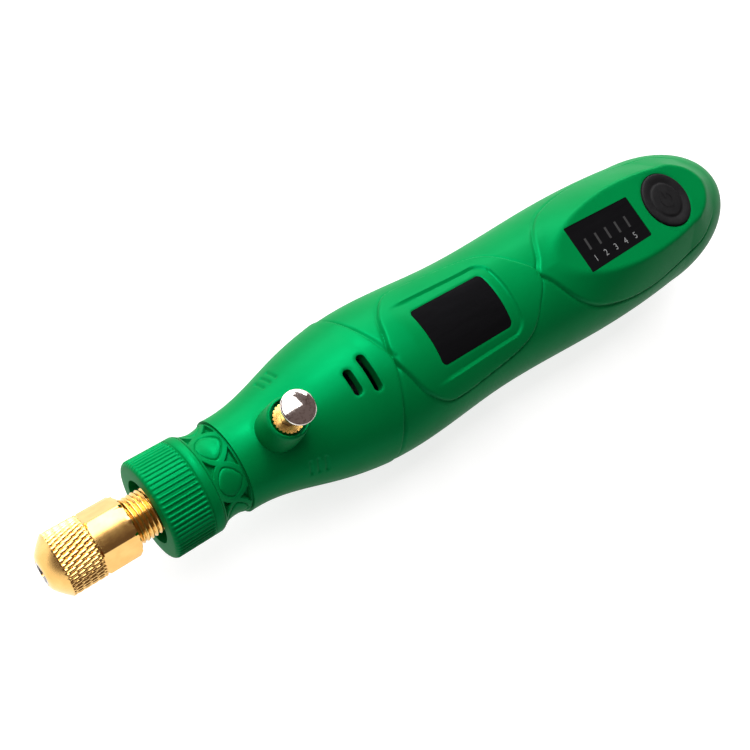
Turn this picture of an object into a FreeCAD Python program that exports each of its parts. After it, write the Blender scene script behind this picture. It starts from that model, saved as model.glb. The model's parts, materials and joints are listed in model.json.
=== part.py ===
import FreeCAD, Part
import math
import os
from FreeCAD import Vector

# A cordless pen grinder with its face up. X runs from the collet mouth to the tail, Z is the face,
# and the spindle turns on the X axis. The origin is the centre of the collet mouth. Millimetres.

os.makedirs("parts", exist_ok=True)

# Fits
RUNNING = 0.05
PLACED = 0.05
LOOSE = 0.3

# Collet and collet nut
SHANK_RADIUS = 1.5
COLLET_LENGTH = 15.0
COLLET_RADIUS = 2.4
COLLET_NOSE_RADIUS = 1.9
COLLET_HEAD_RADIUS = 3.2
COLLET_HEAD_LENGTH = 2.2
COLLET_SLOT_WIDTH = 0.5
COLLET_SLOT_LENGTH = 11.0
NUT_RADIUS = 5.25
NUT_FACE_RADIUS = 2.4
NUT_DOME_LENGTH = 1.9
NUT_DOME_FULLNESS = 0.58
NUT_KNURL_LENGTH = 4.8
NUT_NECK_LENGTH = 1.4
NUT_HEX_LENGTH = 5.9
NUT_FLATS = 9.1
NUT_CHAMFER = 0.6

# Spindle and its two ball bearings
THREAD_RADIUS = 3.95
THREAD_BARE = 3.5
SPINDLE_RADIUS = 3.5
SHOULDER_RADIUS = 3.1
SHOULDER_LENGTH = 0.4
STUB_RADIUS = 2.0
STUB_LENGTH = 5.5
BEARING_BORE_RADIUS = 2.5
BEARING_RADIUS = 5.5
BEARING_WIDTH = 4.0
BEARING_INNER_RADIUS = 3.4
BEARING_SPLIT = 0.15
COUPLING_RADIUS = 4.0
COUPLING_LENGTH = 8.5

# Ribbed nose cap, dust seal and nose sleeve
CAP_RADIUS = 8.6
CAP_LENGTH = 8.8
CAP_WALL = 1.8
CAP_HOLE_RADIUS = 5.6
CAP_EDGE = 1.0
CAP_BAND = 2.1
CAP_FLANGE = 1.8
CAP_RIBS = 56
RIB_GROOVE_RADIUS = 0.3
SEAL_THICKNESS = 1.2
SEAL_HOLE_RADIUS = 4.4
RETAINER_THICKNESS = 1.0
RETAINER_HOLE_RADIUS = 4.4
SPIGOT_RADIUS = 6.9
WAIST_LENGTH = 5.5
WAIST_RADIUS = 7.5
WAIST_END_RADIUS = 8.2
SLEEVE_BORE_RADIUS = 4.2
SLEEVE_TAIL_RADIUS = 6.6

# Housing outline, from the front edge of the shells to the tail
WALL = 2.0
EDGE_RADIUS = 8.4
NECK_LENGTH = 5.0
NECK_RADIUS = 8.75
FLARE_LENGTH = 10.5
FLARE_RADIUS = 11.7
BULGE_LENGTH = 10.5
BULGE_RADIUS = 13.95
GRIP_LENGTH = 25.5
GRIP_RADIUS = 13.6
SWELL_LENGTH = 31.0
SWELL_RADIUS = 14.7
DOME_SETBACK = 24.0
DOME_RADIUS = 14.25
DOME_LENGTH = 25.0
BULKHEAD = 2.0

# Two moulded feet under the housing, each with a rubber pad, which keep it from rolling
FOOT_SETBACKS = (25.0, 88.0)
FOOT_LENGTH = 10.0
FOOT_WIDTH = 10.0
FOOT_RISE = 0.4
PAD_MARGIN = 1.0
PAD_THICKNESS = 1.0
PAD_PROUD = 0.3

# Spindle lock on the face
LOCK_SETBACK = 7.9
LOCK_TO_BEARING = 5.0
LOCK_TRAVEL = 2.6
PIN_RADIUS = 1.25
PIN_COLLAR_RADIUS = 1.85
PIN_COLLAR_LENGTH = 1.1
PIN_CLEARANCE = 0.15
PIN_TIP_GAP = 0.8
KNOB_RADIUS = 2.8
KNOB_RIM = 0.6
KNOB_DOME = 1.7
KNOB_GAP = 1.1
BOSS_RADIUS = 3.6
BOSS_TOP = 15.2
BOSS_RECESS_RADIUS = 2.95
BOSS_RECESS_DEPTH = 1.4
BUSH_RADIUS = 2.25
BUSH_LENGTH = 1.3
BUSH_HEAD_RADIUS = 2.55
BUSH_HEAD_LENGTH = 1.1
BUSH_TEETH = 24
BUSH_TOOTH_RADIUS = 0.16
SPRING_WIRE_RADIUS = 0.17
SPRING_RADIUS = 1.62
SPRING_TURNS = 4
SPRING_CHAMBER_RADIUS = 2.1

# Vents behind the lock
VENT_SETBACK = 21.0
VENT_STEP = 3.6
VENT_WIDTH = 1.1
VENT_LENGTHS = (4.4, 6.6)

# Label plate on the grip
LABEL_SETBACK = 46.3
LABEL_LENGTH = 17.4
LABEL_WIDTH = 11.0
LABEL_CORNER = 1.0
LABEL_THICKNESS = 0.5
LABEL_SUNK = 0.1

# Raised deck with the display and the power button
DECK_SETBACK = 65.6
DECK_DROP = 0.1
DECK_NOSE_LENGTH = 9.0
DECK_FRONT_WIDTH = 15.0
DECK_LENGTH = 46.0
DECK_TAIL_WIDTH = 12.6
DECK_NOSE_SHAPE = (0.45, 0.72)
DECK_TAIL_SHAPE = 0.55
DECK_SKIN = 2.0
WINDOW_SETBACK = 10.2
WINDOW_LENGTH = 18.5
WINDOW_FRONT_WIDTH = 10.0
WINDOW_REAR_WIDTH = 9.2
WINDOW_THICKNESS = 1.2
WINDOW_LEDGE = 0.7
WINDOW_SUNK = 0.1
BUTTON_SETBACK = 37.7
BUTTON_RADIUS = 6.0
BUTTON_GAP = 0.15
BUTTON_RISE = 0.7
BUTTON_FLANGE = 0.6
BUTTON_FLANGE_THICKNESS = 0.7
BUTTON_TRAVEL = 0.6
BUTTON_CROWN = 0.5

# Motor
MOTOR_GAP = 1.0
MOTOR_RADIUS = 10.2
MOTOR_FLATS = 15.4
MOTOR_LENGTH = 28.0
MOTOR_WALL = 0.8
MOTOR_NOSE_RADIUS = 3.0
MOTOR_NOSE_LENGTH = 1.5
MOTOR_CAP_LENGTH = 2.5
MOTOR_CAP_SKIN = 0.5
MOTOR_SHAFT_SUNK = 1.0
MOTOR_SHAFT_RADIUS = 1.0
ROTOR_RADIUS = 5.6
ROTOR_LENGTH = 15.0
ROTOR_END_GAP = 2.0
MAGNET_GAP = 0.5
MAGNET_THICKNESS = 1.1
COMMUTATOR_RADIUS = 2.3
COMMUTATOR_LENGTH = 4.0
TERMINAL_LENGTH = 2.5
TERMINAL_WIDTH = 2.0
TERMINAL_THICKNESS = 0.5
TERMINAL_SPACING = 10.0
CRADLE_WIDTH = 2.0
CRADLE_INSET = 2.5

# Control board, display module and switch
BOARD_SETBACK = 6.3
BOARD_LENGTH = 38.0
BOARD_WIDTH = 14.2
BOARD_THICKNESS = 1.0
BOARD_DROP = 5.3
BOARD_POST_RADIUS = 1.5
BOARD_POST_SPACING = 11.2
BOARD_POST_INSET = 2.0
BOARD_SCREW_RADIUS = 0.7
BOARD_SCREW_HEAD_RADIUS = 1.3
BOARD_SCREW_HEAD = 0.9
BOARD_SCREW_LENGTH = 2.0
MODULE_MARGIN = 0.8
MODULE_GAP = 0.4
SWITCH_SIZE = 6.0
SWITCH_HEIGHT = 1.6
PLUNGER_RADIUS = 1.5
PLUNGER_SUNK = 0.7

# Battery and charging socket
CELL_RADIUS = 9.1
CELL_LENGTH = 35.0
CELL_DROP = 3.0
CELL_GAP = 6.8
CELL_TERMINAL_RADIUS = 3.0
CELL_TERMINAL_LENGTH = 0.8
TAB_THICKNESS = 0.3
TAB_WIDTH = 5.0
CHARGE_BOARD_LENGTH = 14.0
CHARGE_BOARD_WIDTH = 10.0
SOCKET_WIDTH = 8.9
SOCKET_HEIGHT = 3.2
SOCKET_DEPTH = 7.5
SOCKET_WALL = 0.3
SOCKET_SUNK = 1.4
SOCKET_TONGUE = 0.7
SOCKET_LAP = 1.875

# Screws that hold the shells together
SCREW_RADIUS = 1.0
SCREW_HEAD_RADIUS = 1.9
SCREW_HEAD = 1.4
SCREW_SLOT = 0.4
SCREW_LENGTH = 12.0
SCREW_POST_RADIUS = 2.4
SCREW_SEAT = 6.0
SCREW_SPACINGS = (16.0, 18.0, 15.0)
SCREW_FRONT_GAP = 4.3
SCREW_MIDDLE_GAP = 3.3
SCREW_TAIL_SETBACK = 14.8

# Stations along the axis, each worked out from the one before
NUT_LENGTH = NUT_DOME_LENGTH + NUT_KNURL_LENGTH + NUT_NECK_LENGTH + NUT_HEX_LENGTH
SPINDLE_X = COLLET_HEAD_LENGTH + LOOSE
CAP_X = NUT_LENGTH + THREAD_BARE
SEAL_X = CAP_X + CAP_WALL + PLACED
SPIGOT_X = SEAL_X + SEAL_THICKNESS + PLACED
FRONT_BEARING_X = SPIGOT_X + RETAINER_THICKNESS
WAIST_X = CAP_X + CAP_LENGTH
BODY_X = WAIST_X + WAIST_LENGTH
LOCK_X = BODY_X + LOCK_SETBACK
REAR_BEARING_X = LOCK_X + LOCK_TO_BEARING
SLEEVE_END_X = REAR_BEARING_X + BEARING_WIDTH
CAVITY_X = SLEEVE_END_X + BULKHEAD
STUB_END_X = SLEEVE_END_X + STUB_LENGTH
COUPLING_X = SLEEVE_END_X + STUB_LENGTH - 0.5 * COUPLING_LENGTH
COUPLING_END_X = COUPLING_X + COUPLING_LENGTH
MOTOR_X = COUPLING_END_X + MOTOR_GAP + MOTOR_NOSE_LENGTH
MOTOR_END_X = MOTOR_X + MOTOR_LENGTH
MOTOR_CAP_END_X = MOTOR_END_X + MOTOR_CAP_LENGTH
SCREW_FRONT_X = CAVITY_X + SCREW_FRONT_GAP
SCREW_MIDDLE_X = MOTOR_CAP_END_X + SCREW_MIDDLE_GAP
CELL_X = MOTOR_CAP_END_X + CELL_GAP
BULGE_X = BODY_X + NECK_LENGTH + FLARE_LENGTH + BULGE_LENGTH
GRIP_X = BULGE_X + GRIP_LENGTH
SWELL_X = GRIP_X + SWELL_LENGTH
DOME_X = SWELL_X + DOME_SETBACK
TAIL_X = DOME_X + DOME_LENGTH
SCREW_TAIL_X = TAIL_X - SCREW_TAIL_SETBACK
LABEL_X = BODY_X + LABEL_SETBACK
DECK_X = BODY_X + DECK_SETBACK
WINDOW_X = DECK_X + WINDOW_SETBACK
BUTTON_X = DECK_X + BUTTON_SETBACK
BOARD_X = DECK_X + BOARD_SETBACK
SOCKET_END_X = TAIL_X - SOCKET_SUNK
SOCKET_X = SOCKET_END_X - SOCKET_DEPTH

# Heights above the axis
LAND_Z = -SWELL_RADIUS - FOOT_RISE
FOOT_Z = LAND_Z + PAD_PROUD
DECK_TOP = SWELL_RADIUS - DECK_DROP
BOARD_TOP_Z = DECK_TOP - BOARD_DROP
BOARD_Z = BOARD_TOP_Z - BOARD_THICKNESS
DECK_UNDER_Z = DECK_TOP - DECK_SKIN
BUSH_Z = BOSS_TOP - BOSS_RECESS_DEPTH - BUSH_LENGTH
PIN_COLLAR_TOP_Z = BUSH_Z - 2 * PLACED
PIN_COLLAR_Z = PIN_COLLAR_TOP_Z - PIN_COLLAR_LENGTH
PIN_TIP_Z = SPINDLE_RADIUS + PIN_TIP_GAP
KNOB_Z = BOSS_TOP + LOCK_TRAVEL + KNOB_GAP
SPRING_SEAT_Z = SLEEVE_TAIL_RADIUS + 2 * PLACED
SOCKET_Z = -0.5 * SOCKET_HEIGHT
CHARGE_BOARD_Z = SOCKET_Z - BOARD_THICKNESS

AXIS = Vector(1, 0, 0)
UP = Vector(0, 0, 1)


def export(name, *solids):
    shape = solids[0] if len(solids) == 1 else Part.makeCompound(list(solids))
    shape.exportStep("parts/" + name + ".step")
    bad = [s for s in shape.Solids if not s.isValid() or s.Volume <= 0]
    print(name, len(shape.Solids), "solids", round(shape.Volume, 2), "mm3", "INVALID" if bad else "")


def rod(radius, x0, x1):
    return Part.makeCylinder(radius, x1 - x0, Vector(x0, 0, 0), AXIS)


def tube(outer, inner, x0, x1):
    return rod(outer, x0, x1).cut(rod(inner, x0, x1))


def post(radius, x, y, z0, z1):
    return Part.makeCylinder(radius, z1 - z0, Vector(x, y, z0), UP)


def block(x0, x1, width, z0, z1, y=0.0):
    return Part.makeBox(x1 - x0, width, z1 - z0, Vector(x0, y - 0.5 * width, z0))


def turned(edges):
    """Turn a closed outline of (x, radius) edges round the X axis."""
    return Part.Face(Part.Wire(edges)).revolve(Vector(0, 0, 0), AXIS, 360)


def lathe(points):
    """Turn a closed polygon of (x, radius) corners round the X axis."""
    corners = [Vector(x, 0, r) for x, r in points]
    return Part.Face(Part.makePolygon(corners + corners[:1])).revolve(Vector(0, 0, 0), AXIS, 360)


def line(a, b):
    return Part.makeLine(Vector(a[0], 0, a[1]), Vector(b[0], 0, b[1]))


def prism(points, z0, z1, corner=0.0):
    """A straight-sided plate from a plan outline, with its upright edges rounded."""
    corners = [Vector(x, y, z0) for x, y in points]
    solid = Part.Face(Part.makePolygon(corners + corners[:1])).extrude(Vector(0, 0, z1 - z0))
    if corner > 0:
        upright = [e for e in solid.Edges if abs(e.tangentAt(e.FirstParameter).z) > 0.99]
        solid = solid.makeFillet(corner, upright)
    return solid


def body(inset, front=BODY_X):
    """The housing's turned form, drawn in by inset from the outside."""
    stations = [
        (BODY_X, EDGE_RADIUS),
        (BODY_X + NECK_LENGTH, NECK_RADIUS),
        (BODY_X + NECK_LENGTH + FLARE_LENGTH, FLARE_RADIUS),
        (BULGE_X, BULGE_RADIUS),
        (GRIP_X, GRIP_RADIUS),
        (SWELL_X, SWELL_RADIUS),
        (DOME_X, DOME_RADIUS),
    ]
    side = Part.BSplineCurve()
    side.interpolate([Vector(x, 0, r - inset) for x, r in stations])
    tail_tip = Vector(TAIL_X - inset, 0, 0)
    tail_crown = Vector(DOME_X, 0, DOME_RADIUS - inset)
    tail = Part.Ellipse(tail_tip, tail_crown, Vector(DOME_X, 0, 0))
    edges = [
        line((BODY_X, 0), (BODY_X, EDGE_RADIUS - inset)),
        side.toShape(),
        Part.ArcOfEllipse(tail, 0, 0.5 * math.pi).toShape(),
        line((TAIL_X - inset, 0), (BODY_X, 0)),
    ]
    solid = turned(Part.__sortEdges__(edges))
    if front > BODY_X:
        solid = solid.common(half_space(front))
    return solid


def half_space(front):
    """A box that holds everything behind one station."""
    reach = 2 * SWELL_RADIUS
    return block(front, TAIL_X + reach, 2 * reach, -reach, reach)


def upper_half():
    return block(0, TAIL_X + SWELL_RADIUS, 4 * SWELL_RADIUS, 0, 2 * BOSS_TOP)


def lower_half():
    return block(0, TAIL_X + SWELL_RADIUS, 4 * SWELL_RADIUS, 2 * LAND_Z, 0)


def mirrored(y):
    return (-0.5 * y, 0.5 * y)


# The split collet that grips the tool shank
def collet():
    shape = lathe([
        (0, SHANK_RADIUS),
        (0, COLLET_NOSE_RADIUS),
        (COLLET_HEAD_LENGTH, COLLET_HEAD_RADIUS),
        (COLLET_HEAD_LENGTH, COLLET_RADIUS),
        (COLLET_LENGTH, COLLET_RADIUS),
        (COLLET_LENGTH, SHANK_RADIUS),
    ])
    reach = 2 * COLLET_HEAD_RADIUS
    slot = block(-1, COLLET_SLOT_LENGTH, COLLET_SLOT_WIDTH, -reach, reach)
    crossing = slot.copy()
    crossing.rotate(Vector(0, 0, 0), AXIS, 90)
    return shape.cut(slot).cut(crossing)


# The brass nut: domed front, knurled band, hexagon behind it
def collet_nut():
    neck_x = NUT_DOME_LENGTH + NUT_KNURL_LENGTH
    hex_x = neck_x + NUT_NECK_LENGTH
    flat = 0.5 * NUT_FLATS
    dome = Part.Arc(
        Vector(0, 0, NUT_FACE_RADIUS),
        Vector((1 - NUT_DOME_FULLNESS) * NUT_DOME_LENGTH, 0,
               NUT_FACE_RADIUS + NUT_DOME_FULLNESS * (NUT_RADIUS - NUT_FACE_RADIUS)),
        Vector(NUT_DOME_LENGTH, 0, NUT_RADIUS),
    )
    front = turned([
        line((0, 0), (0, NUT_FACE_RADIUS)),
        dome.toShape(),
        line((NUT_DOME_LENGTH, NUT_RADIUS), (neck_x, NUT_RADIUS)),
        line((neck_x, NUT_RADIUS), (hex_x, flat)),
        line((hex_x, flat), (hex_x, 0)),
        line((hex_x, 0), (0, 0)),
    ])
    corner = flat / math.cos(math.radians(30))
    hexagon = [Vector(neck_x, corner * math.cos(a), corner * math.sin(a))
               for a in (math.radians(60 * i + 30) for i in range(6))]
    bar = Part.Face(Part.makePolygon(hexagon + hexagon[:1])).extrude(AXIS * (NUT_LENGTH - neck_x))
    bar = bar.common(lathe([
        (neck_x, 0),
        (neck_x, NUT_RADIUS),
        (hex_x, corner + LOOSE),
        (NUT_LENGTH - NUT_CHAMFER, corner + LOOSE),
        (NUT_LENGTH, flat - 0.5 * NUT_CHAMFER),
        (NUT_LENGTH, 0),
    ]))
    hollow = lathe([
        (-1, 0),
        (-1, COLLET_NOSE_RADIUS + LOOSE),
        (0, COLLET_NOSE_RADIUS + LOOSE),
        (COLLET_HEAD_LENGTH, COLLET_HEAD_RADIUS + LOOSE),
        (COLLET_HEAD_LENGTH, THREAD_RADIUS + RUNNING),
        (NUT_LENGTH + 1, THREAD_RADIUS + RUNNING),
        (NUT_LENGTH + 1, 0),
    ])
    return front.fuse(bar).cut(hollow).removeSplitter()


# The brass spindle, bored for the collet in front and cross-drilled for the lock pin
def spindle():
    front_end = FRONT_BEARING_X + BEARING_WIDTH
    shape = lathe([
        (SPINDLE_X, COLLET_RADIUS + RUNNING),
        (SPINDLE_X, THREAD_RADIUS),
        (FRONT_BEARING_X - SHOULDER_LENGTH, THREAD_RADIUS),
        (FRONT_BEARING_X - SHOULDER_LENGTH, SHOULDER_RADIUS),
        (FRONT_BEARING_X, SHOULDER_RADIUS),
        (FRONT_BEARING_X, BEARING_BORE_RADIUS),
        (front_end, BEARING_BORE_RADIUS),
        (front_end, SHOULDER_RADIUS),
        (front_end + SHOULDER_LENGTH, SHOULDER_RADIUS),
        (front_end + SHOULDER_LENGTH, SPINDLE_RADIUS),
        (REAR_BEARING_X - SHOULDER_LENGTH, SPINDLE_RADIUS),
        (REAR_BEARING_X - SHOULDER_LENGTH, SHOULDER_RADIUS),
        (REAR_BEARING_X, SHOULDER_RADIUS),
        (REAR_BEARING_X, BEARING_BORE_RADIUS),
        (SLEEVE_END_X, BEARING_BORE_RADIUS),
        (SLEEVE_END_X, STUB_RADIUS),
        (STUB_END_X, STUB_RADIUS),
        (STUB_END_X, 0),
        (COLLET_LENGTH + LOOSE, 0),
        (COLLET_LENGTH + LOOSE, COLLET_RADIUS + RUNNING),
    ])
    return shape.cut(post(PIN_RADIUS + PIN_CLEARANCE, LOCK_X, 0, -2 * SPINDLE_RADIUS, 2 * SPINDLE_RADIUS))


def bearing_rings(inner, outer):
    return [tube(outer, inner, x, x + BEARING_WIDTH) for x in (FRONT_BEARING_X, REAR_BEARING_X)]


def coupling():
    shape = rod(COUPLING_RADIUS, COUPLING_X, COUPLING_END_X)
    shape = shape.cut(rod(STUB_RADIUS, COUPLING_X - 1, STUB_END_X + PLACED))
    return shape.cut(rod(MOTOR_SHAFT_RADIUS, STUB_END_X, COUPLING_END_X + 1))


# The ribbed cap that screws over the front of the nose sleeve
def nose_cap():
    rear_x = CAP_X + CAP_LENGTH
    shape = lathe([
        (CAP_X, CAP_HOLE_RADIUS),
        (CAP_X, CAP_RADIUS - CAP_EDGE),
        (CAP_X + CAP_EDGE, CAP_RADIUS),
        (rear_x, CAP_RADIUS),
        (rear_x, SPIGOT_RADIUS + RUNNING),
        (CAP_X + CAP_WALL, SPIGOT_RADIUS + RUNNING),
        (CAP_X + CAP_WALL, CAP_HOLE_RADIUS),
    ])
    grooves = []
    for i in range(CAP_RIBS):
        a = 2 * math.pi * i / CAP_RIBS
        foot = Vector(CAP_X + CAP_BAND, CAP_RADIUS * math.cos(a), CAP_RADIUS * math.sin(a))
        grooves.append(Part.makeCylinder(RIB_GROOVE_RADIUS, CAP_LENGTH - CAP_BAND - CAP_FLANGE, foot, AXIS))
    return shape.cut(Part.makeCompound(grooves))


def dust_seal():
    return tube(SPIGOT_RADIUS, SEAL_HOLE_RADIUS, SEAL_X, SEAL_X + SEAL_THICKNESS)


def bearing_retainer():
    return tube(BEARING_RADIUS, RETAINER_HOLE_RADIUS, SPIGOT_X, SPIGOT_X + RETAINER_THICKNESS)


# The waisted sleeve that carries both bearings and is clamped by the shells
def nose_sleeve():
    waist = Part.Arc(
        Vector(WAIST_X, 0, WAIST_END_RADIUS),
        Vector(WAIST_X + 0.5 * WAIST_LENGTH, 0, WAIST_RADIUS),
        Vector(BODY_X, 0, WAIST_END_RADIUS),
    )
    front_end = FRONT_BEARING_X + BEARING_WIDTH
    shape = turned([
        line((SPIGOT_X, BEARING_RADIUS), (SPIGOT_X, SPIGOT_RADIUS)),
        line((SPIGOT_X, SPIGOT_RADIUS), (WAIST_X, SPIGOT_RADIUS)),
        line((WAIST_X, SPIGOT_RADIUS), (WAIST_X, WAIST_END_RADIUS)),
        waist.toShape(),
        line((BODY_X, WAIST_END_RADIUS), (BODY_X, SLEEVE_TAIL_RADIUS)),
        line((BODY_X, SLEEVE_TAIL_RADIUS), (SLEEVE_END_X, SLEEVE_TAIL_RADIUS)),
        line((SLEEVE_END_X, SLEEVE_TAIL_RADIUS), (SLEEVE_END_X, BEARING_RADIUS)),
        line((SLEEVE_END_X, BEARING_RADIUS), (REAR_BEARING_X, BEARING_RADIUS)),
        line((REAR_BEARING_X, BEARING_RADIUS), (REAR_BEARING_X, SLEEVE_BORE_RADIUS)),
        line((REAR_BEARING_X, SLEEVE_BORE_RADIUS), (front_end, SLEEVE_BORE_RADIUS)),
        line((front_end, SLEEVE_BORE_RADIUS), (front_end, BEARING_RADIUS)),
        line((front_end, BEARING_RADIUS), (SPIGOT_X, BEARING_RADIUS)),
    ])
    return shape.cut(post(PIN_RADIUS + PIN_CLEARANCE, LOCK_X, 0, 0, 2 * SLEEVE_TAIL_RADIUS))


# The spindle lock: pin with a collar, press-on knob, toothed brass bush and return spring
def lock_pin():
    stem = post(PIN_RADIUS, LOCK_X, 0, PIN_TIP_Z, KNOB_Z + KNOB_RIM)
    return stem.fuse(post(PIN_COLLAR_RADIUS, LOCK_X, 0, PIN_COLLAR_Z, PIN_COLLAR_TOP_Z)).removeSplitter()


def lock_knob():
    rim = post(KNOB_RADIUS, LOCK_X, 0, KNOB_Z, KNOB_Z + KNOB_RIM)
    ball = 0.5 * (KNOB_RADIUS ** 2 + KNOB_DOME ** 2) / KNOB_DOME
    crown = Part.makeSphere(ball, Vector(LOCK_X, 0, KNOB_Z + KNOB_RIM + KNOB_DOME - ball))
    crown = crown.common(post(KNOB_RADIUS, LOCK_X, 0, KNOB_Z + KNOB_RIM, KNOB_Z + KNOB_RIM + 2 * KNOB_DOME))
    return rim.fuse(crown).removeSplitter().cut(post(PIN_RADIUS, LOCK_X, 0, KNOB_Z - 1, KNOB_Z + KNOB_RIM))


def lock_bush():
    head_z = BUSH_Z + BUSH_LENGTH
    shape = post(BUSH_RADIUS, LOCK_X, 0, BUSH_Z, head_z)
    shape = shape.fuse(post(BUSH_HEAD_RADIUS, LOCK_X, 0, head_z, head_z + BUSH_HEAD_LENGTH))
    teeth = []
    for i in range(BUSH_TEETH):
        a = 2 * math.pi * i / BUSH_TEETH
        x = LOCK_X + BUSH_HEAD_RADIUS * math.cos(a)
        teeth.append(post(BUSH_TOOTH_RADIUS, x, BUSH_HEAD_RADIUS * math.sin(a), head_z, head_z + BUSH_HEAD_LENGTH))
    shape = shape.removeSplitter().cut(Part.makeCompound(teeth))
    return shape.cut(post(PIN_RADIUS + RUNNING, LOCK_X, 0, BUSH_Z - 1, BOSS_TOP))


def arc_from(start, tangent, end):
    """The circular arc that leaves start along tangent and reaches end."""
    chord = end - start
    along = Vector(chord).normalize()
    side = tangent - along * tangent.dot(along)
    turn = math.acos(max(-1.0, min(1.0, tangent.dot(along))))
    middle = start + chord * 0.5 + Vector(side).normalize() * (0.5 * chord.Length * math.tan(0.5 * turn))
    return Part.Arc(start, middle, end).toShape()


def biarc(start, start_tangent, end, end_tangent):
    """Two arcs that join smoothly between two points with given directions."""
    chord = end - start
    total = start_tangent + end_tangent
    bend = 2 * (1 - start_tangent.dot(end_tangent))
    reach = (-chord.dot(total) + math.sqrt(chord.dot(total) ** 2 + bend * chord.dot(chord))) / bend
    joint = (start + end + (start_tangent - end_tangent) * reach) * 0.5
    first = arc_from(start, start_tangent, joint)
    second = arc_from(end, end_tangent * -1, joint)
    return [first, second]


def lock_spring():
    low = SPRING_SEAT_Z + SPRING_WIRE_RADIUS
    rise = PIN_COLLAR_Z - PLACED - SPRING_WIRE_RADIUS - low
    turn = 2 * math.pi * SPRING_TURNS

    def at(s):
        return Vector(LOCK_X + SPRING_RADIUS * math.cos(turn * s), SPRING_RADIUS * math.sin(turn * s), low + rise * s)

    def heading(s):
        round_way = SPRING_RADIUS * turn
        return Vector(-round_way * math.sin(turn * s), round_way * math.cos(turn * s), rise).normalize()

    quarters = 4 * SPRING_TURNS
    edges = []
    for i in range(quarters):
        a = i / quarters
        b = (i + 1) / quarters
        edges += biarc(at(a), heading(a), at(b), heading(b))
    path = Part.Wire(Part.__sortEdges__(edges))
    section = Part.Wire(Part.makeCircle(SPRING_WIRE_RADIUS, at(0), heading(0)))
    shape = path.makePipeShell([section], True, False)
    points = path.discretize(40 * SPRING_TURNS)
    half_turn = 20
    gap = min(points[i].distanceToPoint(points[j])
              for i in range(len(points)) for j in range(i + half_turn, len(points)))
    print("lock_spring least gap", round(gap - 2 * SPRING_WIRE_RADIUS, 3), "mm")
    return shape


# Motor with its can, end cap, magnets, rotor and commutator
def motor_form(inset, x0, x1):
    flats = block(x0, x1, 2 * MOTOR_RADIUS, inset - 0.5 * MOTOR_FLATS, 0.5 * MOTOR_FLATS - inset)
    return rod(MOTOR_RADIUS - inset, x0, x1).common(flats)


def motor_can():
    shape = motor_form(0, MOTOR_X, MOTOR_END_X)
    shape = shape.cut(motor_form(MOTOR_WALL, MOTOR_X + MOTOR_WALL, MOTOR_END_X + 1))
    shape = shape.fuse(rod(MOTOR_NOSE_RADIUS, MOTOR_X - MOTOR_NOSE_LENGTH, MOTOR_X + MOTOR_WALL))
    return shape.removeSplitter().cut(rod(MOTOR_SHAFT_RADIUS + RUNNING, COUPLING_X, MOTOR_END_X))


def rotor_x():
    return MOTOR_X + MOTOR_WALL + ROTOR_END_GAP


def motor_shaft():
    return rod(MOTOR_SHAFT_RADIUS, STUB_END_X + PLACED, MOTOR_CAP_END_X - MOTOR_SHAFT_SUNK)


def rotor_core():
    return tube(ROTOR_RADIUS, MOTOR_SHAFT_RADIUS, rotor_x(), rotor_x() + ROTOR_LENGTH)


def commutator():
    x = rotor_x() + ROTOR_LENGTH + ROTOR_END_GAP
    return tube(COMMUTATOR_RADIUS, MOTOR_SHAFT_RADIUS, x, x + COMMUTATOR_LENGTH)


def motor_magnets():
    inner = ROTOR_RADIUS + MAGNET_GAP
    ring = tube(inner + MAGNET_THICKNESS, inner, rotor_x(), rotor_x() + ROTOR_LENGTH)
    inside = motor_form(MOTOR_WALL + PLACED, rotor_x() - 1, rotor_x() + ROTOR_LENGTH + 1)
    magnets = []
    for side in (-1, 1):
        window = block(rotor_x() - 1, rotor_x() + ROTOR_LENGTH + 1, ROTOR_RADIUS, -inner, inner, side * (inner + 0.5))
        magnets.append(ring.common(inside).common(window).Solids[0])
    return magnets


def motor_end_cap():
    shape = motor_form(0, MOTOR_END_X, MOTOR_CAP_END_X)
    return shape.cut(rod(MOTOR_SHAFT_RADIUS + RUNNING, MOTOR_END_X - 1, MOTOR_CAP_END_X - MOTOR_CAP_SKIN))


def motor_terminals():
    return [block(MOTOR_CAP_END_X, MOTOR_CAP_END_X + TERMINAL_LENGTH, TERMINAL_WIDTH,
                  -0.5 * TERMINAL_THICKNESS, 0.5 * TERMINAL_THICKNESS, y)
            for y in mirrored(TERMINAL_SPACING)]


# Plan outlines on the face
def deck_outline():
    front = 0.5 * DECK_FRONT_WIDTH
    rear = 0.5 * DECK_TAIL_WIDTH
    shoulder_x = DECK_X + DECK_NOSE_LENGTH
    nose_x = DECK_X + DECK_NOSE_SHAPE[0] * DECK_NOSE_LENGTH
    nose_y = DECK_NOSE_SHAPE[1] * front
    end_x = DECK_X + DECK_LENGTH
    return [
        (DECK_X, 0),
        (nose_x, -nose_y),
        (shoulder_x, -front),
        (end_x - rear, -rear),
        (end_x, -DECK_TAIL_SHAPE * rear),
        (end_x, DECK_TAIL_SHAPE * rear),
        (end_x - rear, rear),
        (shoulder_x, front),
        (nose_x, nose_y),
    ]


def window_outline(shrink):
    front = 0.5 * WINDOW_FRONT_WIDTH - shrink
    rear = 0.5 * WINDOW_REAR_WIDTH - shrink
    x0 = WINDOW_X + shrink
    x1 = WINDOW_X + WINDOW_LENGTH - shrink
    return [(x0, -front), (x1, -rear), (x1, rear), (x0, front)]


def label_outline(grow):
    half = 0.5 * LABEL_WIDTH + grow
    x0 = LABEL_X - 0.5 * LABEL_LENGTH - grow
    x1 = LABEL_X + 0.5 * LABEL_LENGTH + grow
    return [(x0, -half), (x1, -half), (x1, half), (x0, half)]


def label_plate():
    plate = prism(label_outline(0), 0, 2 * SWELL_RADIUS, LABEL_CORNER)
    return plate.common(body(LABEL_SUNK)).cut(body(LABEL_SUNK + LABEL_THICKNESS))


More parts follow.
